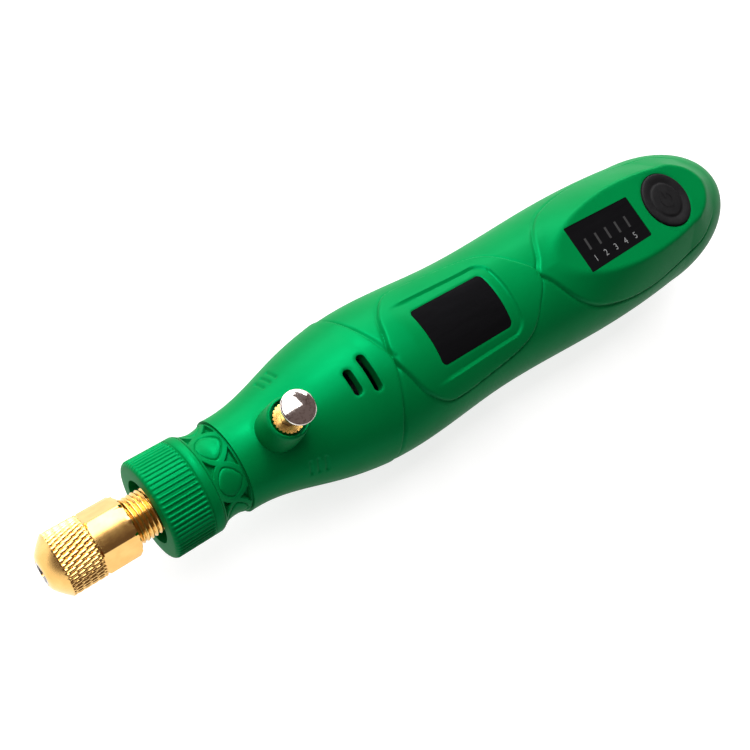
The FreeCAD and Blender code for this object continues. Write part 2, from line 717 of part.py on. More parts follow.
def display_window():
    return prism(window_outline(PLACED), DECK_TOP - WINDOW_SUNK - WINDOW_THICKNESS, DECK_TOP - WINDOW_SUNK)


def display_module():
    top = DECK_TOP - WINDOW_SUNK - WINDOW_THICKNESS - WINDOW_LEDGE - MODULE_GAP
    return prism(window_outline(MODULE_MARGIN), BOARD_TOP_Z, top)


# The two shells
def screw_places():
    rows = zip((SCREW_FRONT_X, SCREW_MIDDLE_X, SCREW_TAIL_X), SCREW_SPACINGS)
    return [(x, y) for x, spacing in rows for y in mirrored(spacing)]


def board_places():
    ends = (BOARD_X + BOARD_POST_INSET, BOARD_X + BOARD_LENGTH - BOARD_POST_INSET)
    return [(x, y) for x in ends for y in mirrored(BOARD_POST_SPACING)]


def socket_form(inset, x0, x1):
    half = 0.5 * SOCKET_HEIGHT - inset
    width = SOCKET_WIDTH - SOCKET_HEIGHT
    sides = [Part.makeCylinder(half, x1 - x0, Vector(x0, y, 0), AXIS) for y in mirrored(width)]
    return block(x0, x1, width, -half, half).fuse(sides).removeSplitter()


def shell_common():
    """What both shells are cut from: wall, bulkhead, motor cradles and screw posts."""
    outside = body(0)
    cavity = body(WALL, CAVITY_X)
    inside = [
        rod(SWELL_RADIUS, x, x + CRADLE_WIDTH).cut(motor_form(-PLACED, x - 1, x + CRADLE_WIDTH + 1))
        for x in (MOTOR_X + CRADLE_INSET, MOTOR_END_X - CRADLE_INSET - CRADLE_WIDTH)
    ]
    inside += [post(SCREW_POST_RADIUS, x, y, -SWELL_RADIUS, SWELL_RADIUS) for x, y in screw_places()]
    shape = outside.cut(cavity)
    for rib in inside:
        shape = shape.fuse(rib.common(body(0.5 * WALL)))
    shape = shape.cut(rod(SLEEVE_TAIL_RADIUS + PLACED, BODY_X - 1, SLEEVE_END_X + PLACED))
    shape = shape.cut(rod(COUPLING_RADIUS + LOOSE, SLEEVE_END_X - 1, CAVITY_X + 1))
    return shape.cut(socket_form(-PLACED, SOCKET_X - 1, TAIL_X + 1))


def vent(x, length):
    ends = 0.5 * (length - VENT_WIDTH)
    slot = block(x - 0.5 * VENT_WIDTH, x + 0.5 * VENT_WIDTH, 2 * ends, 0, 2 * SWELL_RADIUS)
    caps = [post(0.5 * VENT_WIDTH, x, y, 0, 2 * SWELL_RADIUS) for y in (-ends, ends)]
    return slot.fuse(caps).removeSplitter().cut(rod(COUPLING_RADIUS + 1, x - 2, x + 2))


def upper_shell(common):
    shape = common.common(upper_half())
    boss = post(BOSS_RADIUS, LOCK_X, 0, SLEEVE_TAIL_RADIUS + 1, BOSS_TOP)
    deck = prism(deck_outline(), 0, DECK_TOP).cut(body(WALL)).common(half_space(CAVITY_X))
    shape = shape.fuse([boss, deck]).removeSplitter()
    for x, y in board_places():
        shape = shape.fuse(post(BOARD_POST_RADIUS, x, y, BOARD_TOP_Z, SWELL_RADIUS - WALL)
                           .common(body(0.5 * WALL)))
    floor = DECK_TOP - WINDOW_SUNK - WINDOW_THICKNESS
    flange = BUTTON_RADIUS + BUTTON_FLANGE + LOOSE
    cuts = [
        post(SPRING_CHAMBER_RADIUS, LOCK_X, 0, 0, BUSH_Z),
        post(BUSH_RADIUS, LOCK_X, 0, BUSH_Z, BOSS_TOP),
        post(BOSS_RECESS_RADIUS, LOCK_X, 0, BOSS_TOP - BOSS_RECESS_DEPTH, BOSS_TOP + 1),
        vent(BODY_X + VENT_SETBACK, VENT_LENGTHS[0]),
        vent(BODY_X + VENT_SETBACK + VENT_STEP, VENT_LENGTHS[1]),
        prism(label_outline(PLACED), 0, 2 * SWELL_RADIUS, LABEL_CORNER)
        .cut(body(LABEL_SUNK + LABEL_THICKNESS + PLACED)),
        prism(window_outline(0), floor, DECK_TOP + 1),
        prism(window_outline(WINDOW_LEDGE), BOARD_TOP_Z, DECK_TOP + 1),
        post(BUTTON_RADIUS + BUTTON_GAP, BUTTON_X, 0, BOARD_TOP_Z, DECK_TOP + 1),
        post(flange, BUTTON_X, 0, BOARD_TOP_Z - 1, DECK_UNDER_Z),
    ]
    cuts += [post(SCREW_RADIUS, x, y, -1, SCREW_LENGTH - SCREW_SEAT + 1) for x, y in screw_places()]
    cuts += [post(BOARD_SCREW_RADIUS, x, y, BOARD_TOP_Z - 1, BOARD_TOP_Z + BOARD_SCREW_LENGTH)
             for x, y in board_places()]
    for tool in cuts:
        shape = shape.cut(tool)
    return shape


def pads(grow):
    margin = PAD_MARGIN - grow
    return [block(BODY_X + x + margin, BODY_X + x + FOOT_LENGTH - margin, FOOT_WIDTH - 2 * margin,
                  LAND_Z, LAND_Z + PAD_THICKNESS)
            for x in FOOT_SETBACKS]


def lower_shell(common):
    shape = common.common(lower_half())
    ledge = block(SOCKET_X - CHARGE_BOARD_LENGTH + SOCKET_DEPTH, SOCKET_X, CHARGE_BOARD_WIDTH,
                  -SWELL_RADIUS, CHARGE_BOARD_Z)
    cell_end = CELL_X + CELL_LENGTH
    ribs = [block(x, x + CRADLE_WIDTH, 2 * SWELL_RADIUS, -SWELL_RADIUS, -2 * CELL_DROP)
            for x in (CELL_X + 2 * CRADLE_WIDTH, cell_end - 3 * CRADLE_WIDTH)]
    for part in ribs + [ledge]:
        shape = shape.fuse(part.common(body(0.5 * WALL)))
    feet = [block(BODY_X + x, BODY_X + x + FOOT_LENGTH, FOOT_WIDTH, FOOT_Z, 0).cut(body(0.5 * WALL))
            for x in FOOT_SETBACKS]
    shape = shape.fuse(feet)
    shape = shape.removeSplitter().cut(battery_form(PLACED)).cut(pads(PLACED))
    for x, y in screw_places():
        shape = shape.cut(post(SCREW_RADIUS + PLACED, x, y, -2 * SWELL_RADIUS, 1))
        shape = shape.cut(post(SCREW_HEAD_RADIUS + PLACED, x, y, -2 * SWELL_RADIUS, -SCREW_SEAT))
    return shape


def shell_screws():
    screws = []
    for x, y in screw_places():
        shank = post(SCREW_RADIUS, x, y, -SCREW_SEAT, SCREW_LENGTH - SCREW_SEAT)
        head = post(SCREW_HEAD_RADIUS, x, y, -SCREW_SEAT - SCREW_HEAD, -SCREW_SEAT)
        socket = block(x - SCREW_RADIUS, x + SCREW_RADIUS, SCREW_SLOT,
                       -SCREW_SEAT - 2 * SCREW_HEAD, -SCREW_SEAT - 0.5 * SCREW_HEAD, y)
        screws.append(shank.fuse(head).removeSplitter().cut(socket))
    return screws


# Power button and the switch below it
def power_button():
    flange_top = DECK_UNDER_Z - PLACED
    flange_z = flange_top - BUTTON_FLANGE_THICKNESS
    top = DECK_TOP + BUTTON_RISE
    cap = post(BUTTON_RADIUS, BUTTON_X, 0, flange_z, top)
    rim = [e for e in cap.Edges if e.BoundBox.ZMin > top - 0.01]
    cap = cap.makeFillet(BUTTON_CROWN, rim)
    return cap.fuse(post(BUTTON_RADIUS + BUTTON_FLANGE, BUTTON_X, 0, flange_z, flange_top)).removeSplitter()


def plunger_z():
    return BOARD_TOP_Z + SWITCH_HEIGHT - PLUNGER_SUNK


def switch_plunger():
    return post(PLUNGER_RADIUS, BUTTON_X, 0, plunger_z(), DECK_UNDER_Z - PLACED - BUTTON_FLANGE_THICKNESS)


def power_switch():
    half = 0.5 * SWITCH_SIZE
    shape = block(BUTTON_X - half, BUTTON_X + half, SWITCH_SIZE, BOARD_TOP_Z, BOARD_TOP_Z + SWITCH_HEIGHT)
    well = plunger_z() - BUTTON_TRAVEL - PLACED
    return shape.cut(post(PLUNGER_RADIUS + RUNNING, BUTTON_X, 0, well, DECK_TOP))


# Boards, cell and charging socket
def control_board():
    shape = block(BOARD_X, BOARD_X + BOARD_LENGTH, BOARD_WIDTH, BOARD_Z, BOARD_TOP_Z)
    for x, y in board_places():
        shape = shape.cut(post(BOARD_SCREW_RADIUS + PLACED, x, y, BOARD_Z - 1, BOARD_TOP_Z + 1))
    return shape


def board_screws():
    return [post(BOARD_SCREW_RADIUS, x, y, BOARD_Z, BOARD_Z + BOARD_SCREW_LENGTH)
            .fuse(post(BOARD_SCREW_HEAD_RADIUS, x, y, BOARD_Z - BOARD_SCREW_HEAD, BOARD_Z)).removeSplitter()
            for x, y in board_places()]


def battery_form(grow):
    return Part.makeCylinder(CELL_RADIUS + grow, CELL_LENGTH + 2 * grow, Vector(CELL_X - grow, 0, -CELL_DROP), AXIS)


def battery_cell():
    tip = Part.makeCylinder(CELL_TERMINAL_RADIUS, CELL_TERMINAL_LENGTH + 1,
                            Vector(CELL_X - CELL_TERMINAL_LENGTH, 0, -CELL_DROP), AXIS)
    return battery_form(0).fuse(tip).removeSplitter()


def battery_tabs():
    front = CELL_X - CELL_TERMINAL_LENGTH
    rear = CELL_X + CELL_LENGTH
    top = -CELL_DROP + CELL_RADIUS
    return [block(front - TAB_THICKNESS, front, TAB_WIDTH, -CELL_DROP, top),
            block(rear, rear + TAB_THICKNESS, TAB_WIDTH, -CELL_DROP, top)]


def charge_board():
    x0 = SOCKET_X + SOCKET_DEPTH - CHARGE_BOARD_LENGTH - PLACED
    return block(x0, SOCKET_X + SOCKET_LAP, CHARGE_BOARD_WIDTH, CHARGE_BOARD_Z, SOCKET_Z)


def charge_socket():
    shell = socket_form(0, SOCKET_X, SOCKET_END_X)
    return shell.cut(socket_form(SOCKET_WALL, SOCKET_X + SOCKET_WALL, SOCKET_END_X + 1))


def socket_tongue():
    width = SOCKET_WIDTH - SOCKET_HEIGHT
    return block(SOCKET_X + SOCKET_WALL, SOCKET_END_X - 1, width, -0.5 * SOCKET_TONGUE, 0.5 * SOCKET_TONGUE)


shells = shell_common()
export("collet_nut", collet_nut())
export("collet", collet())
export("spindle", spindle())
export("bearing_inner_rings", *bearing_rings(BEARING_BORE_RADIUS, BEARING_INNER_RADIUS))
export("bearing_outer_rings", *bearing_rings(BEARING_INNER_RADIUS + BEARING_SPLIT, BEARING_RADIUS))
export("bearing_retainer", bearing_retainer())
export("shaft_coupling", coupling())
export("nose_cap", nose_cap())
export("dust_seal", dust_seal())
export("nose_sleeve", nose_sleeve())
export("upper_shell", upper_shell(shells))
export("lower_shell", lower_shell(shells))
export("rest_pads", *pads(0))
export("shell_screws", *shell_screws())
export("lock_pin", lock_pin())
export("lock_knob", lock_knob())
export("lock_bush", lock_bush())
export("lock_spring", lock_spring())
export("motor_can", motor_can())
export("motor_end_cap", motor_end_cap())
export("motor_terminals", *motor_terminals())
export("motor_magnets", *motor_magnets())
export("motor_shaft", motor_shaft())
export("rotor_core", rotor_core())
export("commutator", commutator())
export("label_plate", label_plate())
export("display_window", display_window())
export("display_module", display_module())
export("control_board", control_board())
export("board_screws", *board_screws())
export("power_button", power_button())
export("switch_plunger", switch_plunger())
export("power_switch", power_switch())
export("battery_cell", battery_cell())
export("battery_tabs", *battery_tabs())
export("charge_board", charge_board())
export("charge_socket", charge_socket())
export("socket_tongue", socket_tongue())
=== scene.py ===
import json
import math

import bmesh
import bpy
import numpy as np
from mathutils import Matrix, Vector


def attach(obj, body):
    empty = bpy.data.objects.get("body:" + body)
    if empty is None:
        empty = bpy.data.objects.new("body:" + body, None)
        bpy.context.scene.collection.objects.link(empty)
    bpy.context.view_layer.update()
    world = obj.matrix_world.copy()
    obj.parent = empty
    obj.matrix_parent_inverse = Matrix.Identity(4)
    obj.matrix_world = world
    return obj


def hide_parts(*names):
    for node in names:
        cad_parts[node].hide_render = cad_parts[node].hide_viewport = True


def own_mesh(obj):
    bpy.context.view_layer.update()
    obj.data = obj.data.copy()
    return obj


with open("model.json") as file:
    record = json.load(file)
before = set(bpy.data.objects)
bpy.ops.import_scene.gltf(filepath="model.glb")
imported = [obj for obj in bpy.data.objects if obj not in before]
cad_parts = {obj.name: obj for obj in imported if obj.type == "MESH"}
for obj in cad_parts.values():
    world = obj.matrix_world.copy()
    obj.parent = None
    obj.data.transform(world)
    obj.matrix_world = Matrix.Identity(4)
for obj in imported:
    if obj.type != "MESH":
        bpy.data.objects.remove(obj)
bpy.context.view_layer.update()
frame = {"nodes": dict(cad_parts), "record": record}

# Upper shell: the moulded green half with the hood, the boss of the spindle lock, the vents, the label bed and
# the display deck. It is satin ABS from a spark-eroded tool, screwed to the lower shell from below.
MM = 0.001
BODY_X = 31.8
DOME_X = 138.3
TAIL_X = 163.3
SIDE = np.array([(31.8, 8.4), (36.8, 8.75), (47.3, 11.7), (57.8, 13.95), (83.3, 13.6), (114.3, 14.7),
                 (138.3, 14.25)])
WALL = 2.0
DECK_TOP = 14.6
LOCK_X = 39.7
LABEL_X, LABEL_REACH, LABEL_HALF, LABEL_CORNER = 78.1, 8.75, 5.55, 1.0
BUTTON_X = 135.1
BUTTON_HOLE, BUTTON_FLANGE = 6.15, 6.9
WINDOW_X = (107.6, 126.1)
WINDOW_FRONT, WINDOW_REAR = 5.0, 4.6
WINDOW_LEDGE = 0.7
SOCKET_REACH, SOCKET_HALF, SOCKET_CORNER = 4.5, 1.65, 1.64
VENTS = ((53.2, 4.8), (56.5, 6.9))
VENT_WIDTH = 1.6
VENT_EASE, LABEL_EASE, BUTTON_EASE = 0.14, 0.10, 0.12
NOTCHES = (42.0, 43.3, 44.6)
NOTCH_DEPTH = 0.22
BOSS_FILLET = 0.14
ROUND = 14.0
SKIN = 0.02
HOOD_LIP, HOOD_STEP, HOOD_GROOVE = 0.14, 0.50, 0.28
PILLOW_RISE, PILLOW_CREASE = 0.44, 0.16
BED_X, BED_ANGLE, BED_CORNER, BED_DEPTH = (58.0, 89.2), 33, 3.0, 0.40
DECK_STEP, DECK_GROOVE = 0.30, 0.24
DECK_RISE = 0.0267
SEAM_EASE, SEAM_WIDTH = 0.14, 0.7
BULKHEAD_X = 50.7


class Value:
    """One output inside a finish. Arithmetic on it adds Math nodes."""

    def __init__(self, finish, socket):
        self.finish = finish
        self.socket = socket

    def math(self, operation, first, second=0.0):
        return self.finish.node("ShaderNodeMath", {"operation": operation}, {0: first, 1: second})

    def __add__(self, other):
        return self.math("ADD", self, other)

    __radd__ = __add__

    def __mul__(self, other):
        return self.math("MULTIPLY", self, other)

    __rmul__ = __mul__


class Finish:
    """A material whose Principled shader is fed by procedural nodes in Object coordinates."""

    def __init__(self, name):
        self.material = bpy.data.materials.new(name)
        self.material.use_nodes = True
        self.tree = self.material.node_tree
        self.shader = self.tree.nodes["Principled BSDF"]
        self.place = self.node("ShaderNodeTexCoord", {}, {}, "Object")

    def node(self, kind, settings, values, output=0):
        made = self.tree.nodes.new(kind)
        for key, setting in settings.items():
            if key == "stops":
                ramp = made.color_ramp
                while len(ramp.elements) < len(setting):
                    ramp.elements.new(1.0)
                for element, (position, colour) in zip(ramp.elements, setting):
                    element.position = position
                    element.color = colour
            else:
                setattr(made, key, setting)
        for key, value in values.items():
            self.feed(made.inputs[key], value)
        return Value(self, made.outputs[output])

    def feed(self, socket, value):
        if isinstance(value, Value):
            self.tree.links.new(value.socket, socket)
        else:
            socket.default_value = value

    def set(self, **values):
        for key, value in values.items():
            self.feed(self.shader.inputs[key.replace("_", " ")], value)

    def noise(self, scale, detail=2.0, roughness=0.5, stretch=None):
        place = self.place
        if stretch:
            place = self.node("ShaderNodeMapping", {}, {"Vector": place, "Scale": stretch})
        return self.node("ShaderNodeTexNoise", {}, {"Vector": place, "Scale": scale, "Detail": detail,
                                                    "Roughness": roughness})

    def ramp(self, value, *stops):
        return self.node("ShaderNodeValToRGB", {"stops": stops}, {"Fac": value})

    def bump(self, height, strength, distance):
        return self.node("ShaderNodeBump", {}, {"Height": height, "Strength": strength, "Distance": distance})


def tone(red, green, blue, by=1.0):
    return (red * by, green * by, blue * by, 1.0)


def moulded_green(name):
    """Satin green ABS with a fine eroded grain, faint flow clouds and a little polish wear."""
    finish = Finish(name)
    clouds = finish.noise(90.0, 3.0)
    grain = finish.noise(5200.0, 2.0)
    handled = finish.noise(260.0, 4.0)
    colour = finish.ramp(clouds, (0.3, tone(0.0001, 0.112, 0.025)), (0.7, tone(0.0001, 0.124, 0.028)))
    finish.set(Base_Color=colour, Roughness=0.34 + 0.10 * handled, Specular_IOR_Level=0.5,
               Specular_Tint=tone(0.1, 33.0, 11.5), IOR=1.07)
    finish.set(Normal=finish.bump(grain, 0.10, 0.00006))
    return finish.material


green = moulded_green("green_abs")


def piece(name, bm, material, sharp=32.0):
    """A finished mesh object: smooth shaded, with its edges kept sharp above an angle."""
    mesh = bpy.data.meshes.new(name)
    bm.to_mesh(mesh)
    bm.free()
    mesh.polygons.foreach_set("use_smooth", [True] * len(mesh.polygons))
    mesh.set_sharp_from_angle(angle=math.radians(sharp))
    mesh.materials.append(material)
    obj = bpy.data.objects.new(name, mesh)
    bpy.context.scene.collection.objects.link(obj)
    return obj


def through(points):
    """A smooth curve through points, whose end slopes follow the four points nearest each end."""
    along = np.r_[0, np.cumsum(np.hypot(*np.diff(points, axis=0).T))]
    count = len(along)
    gap = np.diff(along)
    rise = np.diff(points, axis=0) / gap[:, None]
    system = np.eye(count)
    wanted = np.zeros((count, 2))
    for i in range(1, count - 1):
        system[i, i - 1:i + 2] = gap[i], 2 * (gap[i - 1] + gap[i]), gap[i - 1]
        wanted[i] = 3 * (gap[i] * rise[i - 1] + gap[i - 1] * rise[i])
    for row, near in ((0, slice(0, 4)), (-1, slice(-4, None))):
        wanted[row] = [np.polyfit(along[near] - along[row], points[near, k], 3)[2] for k in (0, 1)]
    slope = np.linalg.solve(system, wanted)
    steps = np.linspace(0, along[-1], 600)
    cell = np.clip(np.searchsorted(along, steps) - 1, 0, count - 2)
    t = ((steps - along[cell]) / gap[cell])[:, None]
    span = gap[cell][:, None]
    return ((1 + 2 * t) * (1 - t) ** 2 * points[cell] + t * (1 - t) ** 2 * span * slope[cell]
            + t * t * (3 - 2 * t) * points[cell + 1] + t * t * (t - 1) * span * slope[cell + 1])


def outside(inset=0.0):
    """The housing's side line from the front edge to the tail, as (x, radius) rows."""
    arc = np.linspace(0, 0.5 * math.pi, 160)[1:]
    tail = np.stack([DOME_X + (TAIL_X - DOME_X - inset) * np.sin(arc), (SIDE[-1, 1] - inset) * np.cos(arc)], 1)
    return np.r_[through(SIDE) - (0, inset), tail]


def smooth(value):
    t = np.clip(value, 0, 1)
    return t * t * (3 - 2 * t)


def rounded(points, steps=14):
    """A closed smooth outline through points."""
    p = np.array(points, float)
    t = np.linspace(0, 1, steps, endpoint=False)[:, None]
    runs = []
    for i in range(len(p)):
        a, b, c, d = p[i - 1], p[i], p[(i + 1) % len(p)], p[(i + 2) % len(p)]
        runs.append(0.5 * (2 * b + (c - a) * t + (2 * a - 5 * b + 4 * c - d) * t * t
                           + (3 * b - a - 3 * c + d) * t ** 3))
    return np.concatenate(runs)


def mirrored(half):
    """A closed outline from its upper half, which starts and ends on the middle line."""
    return half + [(x, -a) for x, a in half[-2:0:-1]]


def depth_in(outline, x, y):
    """How far each point lies inside a closed outline, negative outside it."""
    best = np.full(x.shape, 1e9)
    inside = np.zeros(x.shape, bool)
    for (x0, y0), (x1, y1) in zip(outline, np.roll(outline, -1, 0)):
        dx, dy = x1 - x0, y1 - y0
        t = np.clip(((x - x0) * dx + (y - y0) * dy) / (dx * dx + dy * dy), 0, 1)
        best = np.minimum(best, (x - x0 - t * dx) ** 2 + (y - y0 - t * dy) ** 2)
        if y0 != y1:
            inside ^= ((y0 > y) != (y1 > y)) & (x < x0 + (y - y0) * dx / dy)
    return np.where(inside, 1, -1) * np.sqrt(best)


def box_depth(x, y, x0, x1, half, corner):
    """How far each point lies inside a rectangle with round corners."""
    across = np.abs(x - 0.5 * (x0 + x1)) - 0.5 * (x1 - x0) + corner
    up = np.abs(y) - half + corner
    return corner - np.hypot(np.maximum(across, 0), np.maximum(up, 0)) - np.minimum(np.maximum(across, up), 0)


def arcs(points):
    """Outline points given as (x, degrees round the body), laid flat in millimetres."""
    return [(x, ROUND * math.radians(a)) for x, a in points]


PILLOW = rounded(arcs(mirrored([
    (61.3, 0), (62.6, 18), (64.6, 34), (68.6, 49), (72.6, 52), (79.0, 50.5), (86.0, 47), (90.8, 39), (94.4, 21),
    (97.5, 0)])))
DECK = rounded(arcs(mirrored([
    (97.2, 0), (98.9, 10), (102.0, 27.5), (105.4, 40), (109.0, 48.5), (113.8, 55), (120.0, 60), (126.3, 61),
    (132.3, 57.5), (137.5, 53.5), (143.0, 48.5), (146.4, 40.5), (149.6, 30), (152.4, 16), (153.6, 0)])))


def from_top(a):
    """Degrees round the body from its top line, the same on both sides."""
    return np.abs((np.degrees(a) + 180) % 360 - 180)


def hooded(x, a):
    """The hood's rear step with the groove behind it, which runs on round the belly and dies out there."""
    turn = from_top(a)
    crease = np.interp(turn, (0, 8, 18, 30, 45, 60, 90), (61.2, 60.7, 60.0, 59.2, 58.5, 58.1, 57.9))
    behind = x - crease
    h = HOOD_LIP * smooth((behind + 2.6) / 2.5) * smooth((0.2 - behind) / 0.25)
    h -= HOOD_STEP * smooth((behind + 0.05) / 0.45) * np.exp(-np.maximum(behind, 0) / 9)
    h -= HOOD_GROOVE * np.exp(-((behind - 0.55) / 0.42) ** 2)
    return h * np.interp(turn, (0, 50, 75, 90, 125), (1, 1, 0.5, 0.24, 0))


def seam(r, a):
    """How far the edges along the parting line are eased back, less so towards the tip of the tail."""
    off = np.abs(from_top(a) - 90)
    return SEAM_EASE * smooth((SEAM_WIDTH - off) / SEAM_WIDTH) * smooth(r / 4)


def sculpted(x, r, a):
    """The radius of the sculpted upper shell at each point of the plain turned body."""
    s = ROUND * a
    h = hooded(x, a)
    inside = depth_in(PILLOW, x, s)
    h += PILLOW_RISE * smooth((inside + 0.1) / 0.6) - PILLOW_CREASE * np.exp(-((inside + 0.05) / 0.25) ** 2)
    bed = box_depth(x, s, *BED_X, ROUND * math.radians(BED_ANGLE), BED_CORNER)
    h -= BED_DEPTH * smooth((bed + 0.1) / 0.38) * smooth((x - 66.0) / 5.0)
    for place in NOTCHES:
        notch = np.exp(-((x - place) / 0.28) ** 2) * smooth((np.abs(np.degrees(a)) - 43) / 3)
        h -= NOTCH_DEPTH * notch * smooth((63 - np.abs(np.degrees(a))) / 3)
    out = np.hypot(x - LOCK_X, r * np.sin(a))
    h += BOSS_FILLET * smooth((4.8 - out) / 1.1) ** 2
    y = r * np.sin(a)
    for place, length in VENTS:
        edge = np.hypot(np.maximum(np.abs(y) - 0.5 * (length - VENT_WIDTH), 0), x - place) - 0.5 * VENT_WIDTH
        h -= VENT_EASE * smooth((0.45 - edge) / 0.45) ** 2
    label = box_depth(x, y, LABEL_X - LABEL_REACH, LABEL_X + LABEL_REACH, LABEL_HALF, LABEL_CORNER)
    h -= LABEL_EASE * smooth((label + 0.35) / 0.35) ** 2
    made = r + h
    lift = depth_in(DECK, x, s)
    runout = 1 - smooth((x - 143.0) / 7.0)
    rise = DECK_RISE * (1 + 0.35 * smooth((x - 124.0) / 14.0))
    raised = r + DECK_STEP * runout * smooth((lift + 0.05) / 0.6) + rise * np.maximum(lift, 0) ** 2
    top = DECK_TOP / np.maximum(np.cos(a), 0.35)
    blend = 0.40 + 2.0 * smooth((x - 145.0) / 7.0)
    share = np.clip(0.5 + 0.5 * (top - raised) / blend, 0, 1)
    raised = top * (1 - share) + raised * share - blend * share * (1 - share)
    groove = DECK_GROOVE * runout * np.exp(-((lift + 0.1) / 0.30) ** 2)
    made = np.where(lift > 0, raised, made) - groove
    plan = np.hypot(x - BUTTON_X, made * np.sin(a))
    made -= BUTTON_EASE * smooth((6.6 - plan) / 0.45) ** 2 * (plan > 5.5)
    return made - seam(r, a)


def half_shell(rows, around, form):
    """A closed half of the housing: a grid bent round the axis, shaped by form, closed on the parting plane."""
    bm = bmesh.new()
    total = sum(count for end, count in rows)
    bmesh.ops.create_grid(bm, x_segments=total, y_segments=len(around) - 1, size=0.5)
    flat = np.array([v.co[:2] for v in bm.verts]) + 0.5
    line = outside(SKIN)
    run = np.r_[0, np.cumsum(np.hypot(*np.diff(line, axis=0).T))]
    ends = np.interp([BODY_X] + [end for end, count in rows[:-1]], line[:, 0], run).tolist() + [run[-1]]
    place = np.interp(flat[:, 0] * total, np.cumsum([0] + [count for end, count in rows]), ends)
    x = np.interp(place, run, line[:, 0])
    r = np.interp(place, run, line[:, 1])
    a = np.interp(flat[:, 1], np.linspace(0, 1, len(around)), around)
    made = np.where(r < 1e-6, 0, form(x, r, a))
    for v, px, py, pz in zip(bm.verts, x, made * np.sin(a), made * np.cos(a)):
        v.co = (px * MM, py * MM, (0 if abs(pz) < 1e-6 else pz) * MM)
    bmesh.ops.remove_doubles(bm, verts=bm.verts, dist=1e-7)
    rim = {v for v in bm.verts if v.is_boundary and v.co.x < BODY_X * MM + 1e-7}
    bridge = bm.edges.new([v for v in rim if v.co.z == 0])
    edges = [e for e in bm.edges if e.is_boundary and e is not bridge]
    ring = [e for e in edges if e.verts[0] in rim and e.verts[1] in rim]
    bmesh.ops.edgeloop_fill(bm, edges=ring + [bridge])
    bmesh.ops.edgeloop_fill(bm, edges=[e for e in bm.edges if e.is_boundary])
    bmesh.ops.recalc_face_normals(bm, faces=bm.faces)
    return bm


def turned(points, steps, centre=(0, 0, 0), axis=(1, 0, 0), closed=True):
    """A profile of (along, radius) corners spun round an axis through centre."""
    bm = bmesh.new()
    axis = Vector(axis)
    half_step = math.pi / steps
    side = Vector((0, math.sin(half_step), math.cos(half_step))) if axis.x else Vector((1, 0, 0))
    corners = [bm.verts.new((Vector(centre) + axis * along + side * radius) * MM) for along, radius in points]
    pairs = list(zip(corners, corners[1:])) + ([(corners[-1], corners[0])] if closed else [])
    edges = [bm.edges.new(pair) for pair in pairs]
    bmesh.ops.spin(bm, geom=corners + edges, cent=Vector(centre) * MM, axis=axis, angle=2 * math.pi,
                   steps=steps, use_merge=True)
    bmesh.ops.remove_doubles(bm, verts=bm.verts, dist=1e-7)
    bmesh.ops.recalc_face_normals(bm, faces=bm.faces)
    return bm


def joined(parts):
    """Several meshes gathered into one."""
    whole = bmesh.new()
    for part in parts:
        mesh = bpy.data.meshes.new("work")
        part.to_mesh(mesh)
        part.free()
        whole.from_mesh(mesh)
        bpy.data.meshes.remove(mesh)
    return whole


def plate(outline, z0, z1, axis=(0, 0, 1)):
    """A straight-sided plate from a flat outline."""
    bm = bmesh.new()
    if axis[2]:
        corners = [bm.verts.new((x * MM, y * MM, z0 * MM)) for x, y in outline]
    else:
        corners = [bm.verts.new((z0 * MM, x * MM, y * MM)) for x, y in outline]
    face = bm.faces.new(corners)
    raised = bmesh.ops.extrude_face_region(bm, geom=[face])["geom"]
    moved = [g for g in raised if isinstance(g, bmesh.types.BMVert)]
    bmesh.ops.translate(bm, verts=moved, vec=Vector(axis) * (z1 - z0) * MM)
    bmesh.ops.recalc_face_normals(bm, faces=bm.faces)
    return bm


def stadium(x, y, length, width, steps=12):
    """An upright slot outline, long in the second direction."""
    reach = 0.5 * (length - width)
    turn = [math.pi * i / steps for i in range(steps + 1)]
    upper = [(x + 0.5 * width * math.cos(t), y + reach + 0.5 * width * math.sin(t)) for t in turn]
    lower = [(x - 0.5 * width * math.cos(t), y - reach - 0.5 * width * math.sin(t)) for t in turn]
    return upper + lower


def soft_box(x0, x1, half, corner, steps=6, rear=None):
    """A rectangle outline with round corners; rear gives another half width at the far end."""
    rear = half if rear is None else rear
    outline = []
    for cx, cy, start in ((x1 - corner, rear - corner, 0), (x0 + corner, half - corner, 90),
                          (x0 + corner, corner - half, 180), (x1 - corner, corner - rear, 270)):
        for i in range(steps + 1):
            t = math.radians(start + 90 * i / steps)
            outline.append((cx + corner * math.cos(t), cy + corner * math.sin(t)))
    return outline


def cut(bm, tool, operation="DIFFERENCE"):
    """One solid cut from, or joined to, another."""
    holders = []
    for part in (bm, tool):
        mesh = bpy.data.meshes.new("work")
        part.to_mesh(mesh)
        part.free()
        holders.append(bpy.data.objects.new("work", mesh))
        bpy.context.scene.collection.objects.link(holders[-1])
    change = holders[0].modifiers.new("cut", "BOOLEAN")
    change.operation = operation
    change.solver = "MANIFOLD"
    change.object = holders[1]
    bpy.context.view_layer.update()
    result = bpy.data.meshes.new_from_object(holders[0].evaluated_get(bpy.context.evaluated_depsgraph_get()))
    made = bmesh.new()
    made.from_mesh(result)
    for holder in holders:
        mesh = holder.data
        bpy.data.objects.remove(holder)
        bpy.data.meshes.remove(mesh)
    bpy.data.meshes.remove(result)
    return made


def cavity():
    """The hollow that both shells share, from the bulkhead behind the sleeve to the tail."""
    line = outside(WALL)
    hollow = line[line[:, 0] > BULKHEAD_X]
    coarse = hollow[::6]
    return turned([(BULKHEAD_X, 0)] + [tuple(row) for row in coarse[:-1]] + [(TAIL_X - WALL, 0)], 96, closed=False)


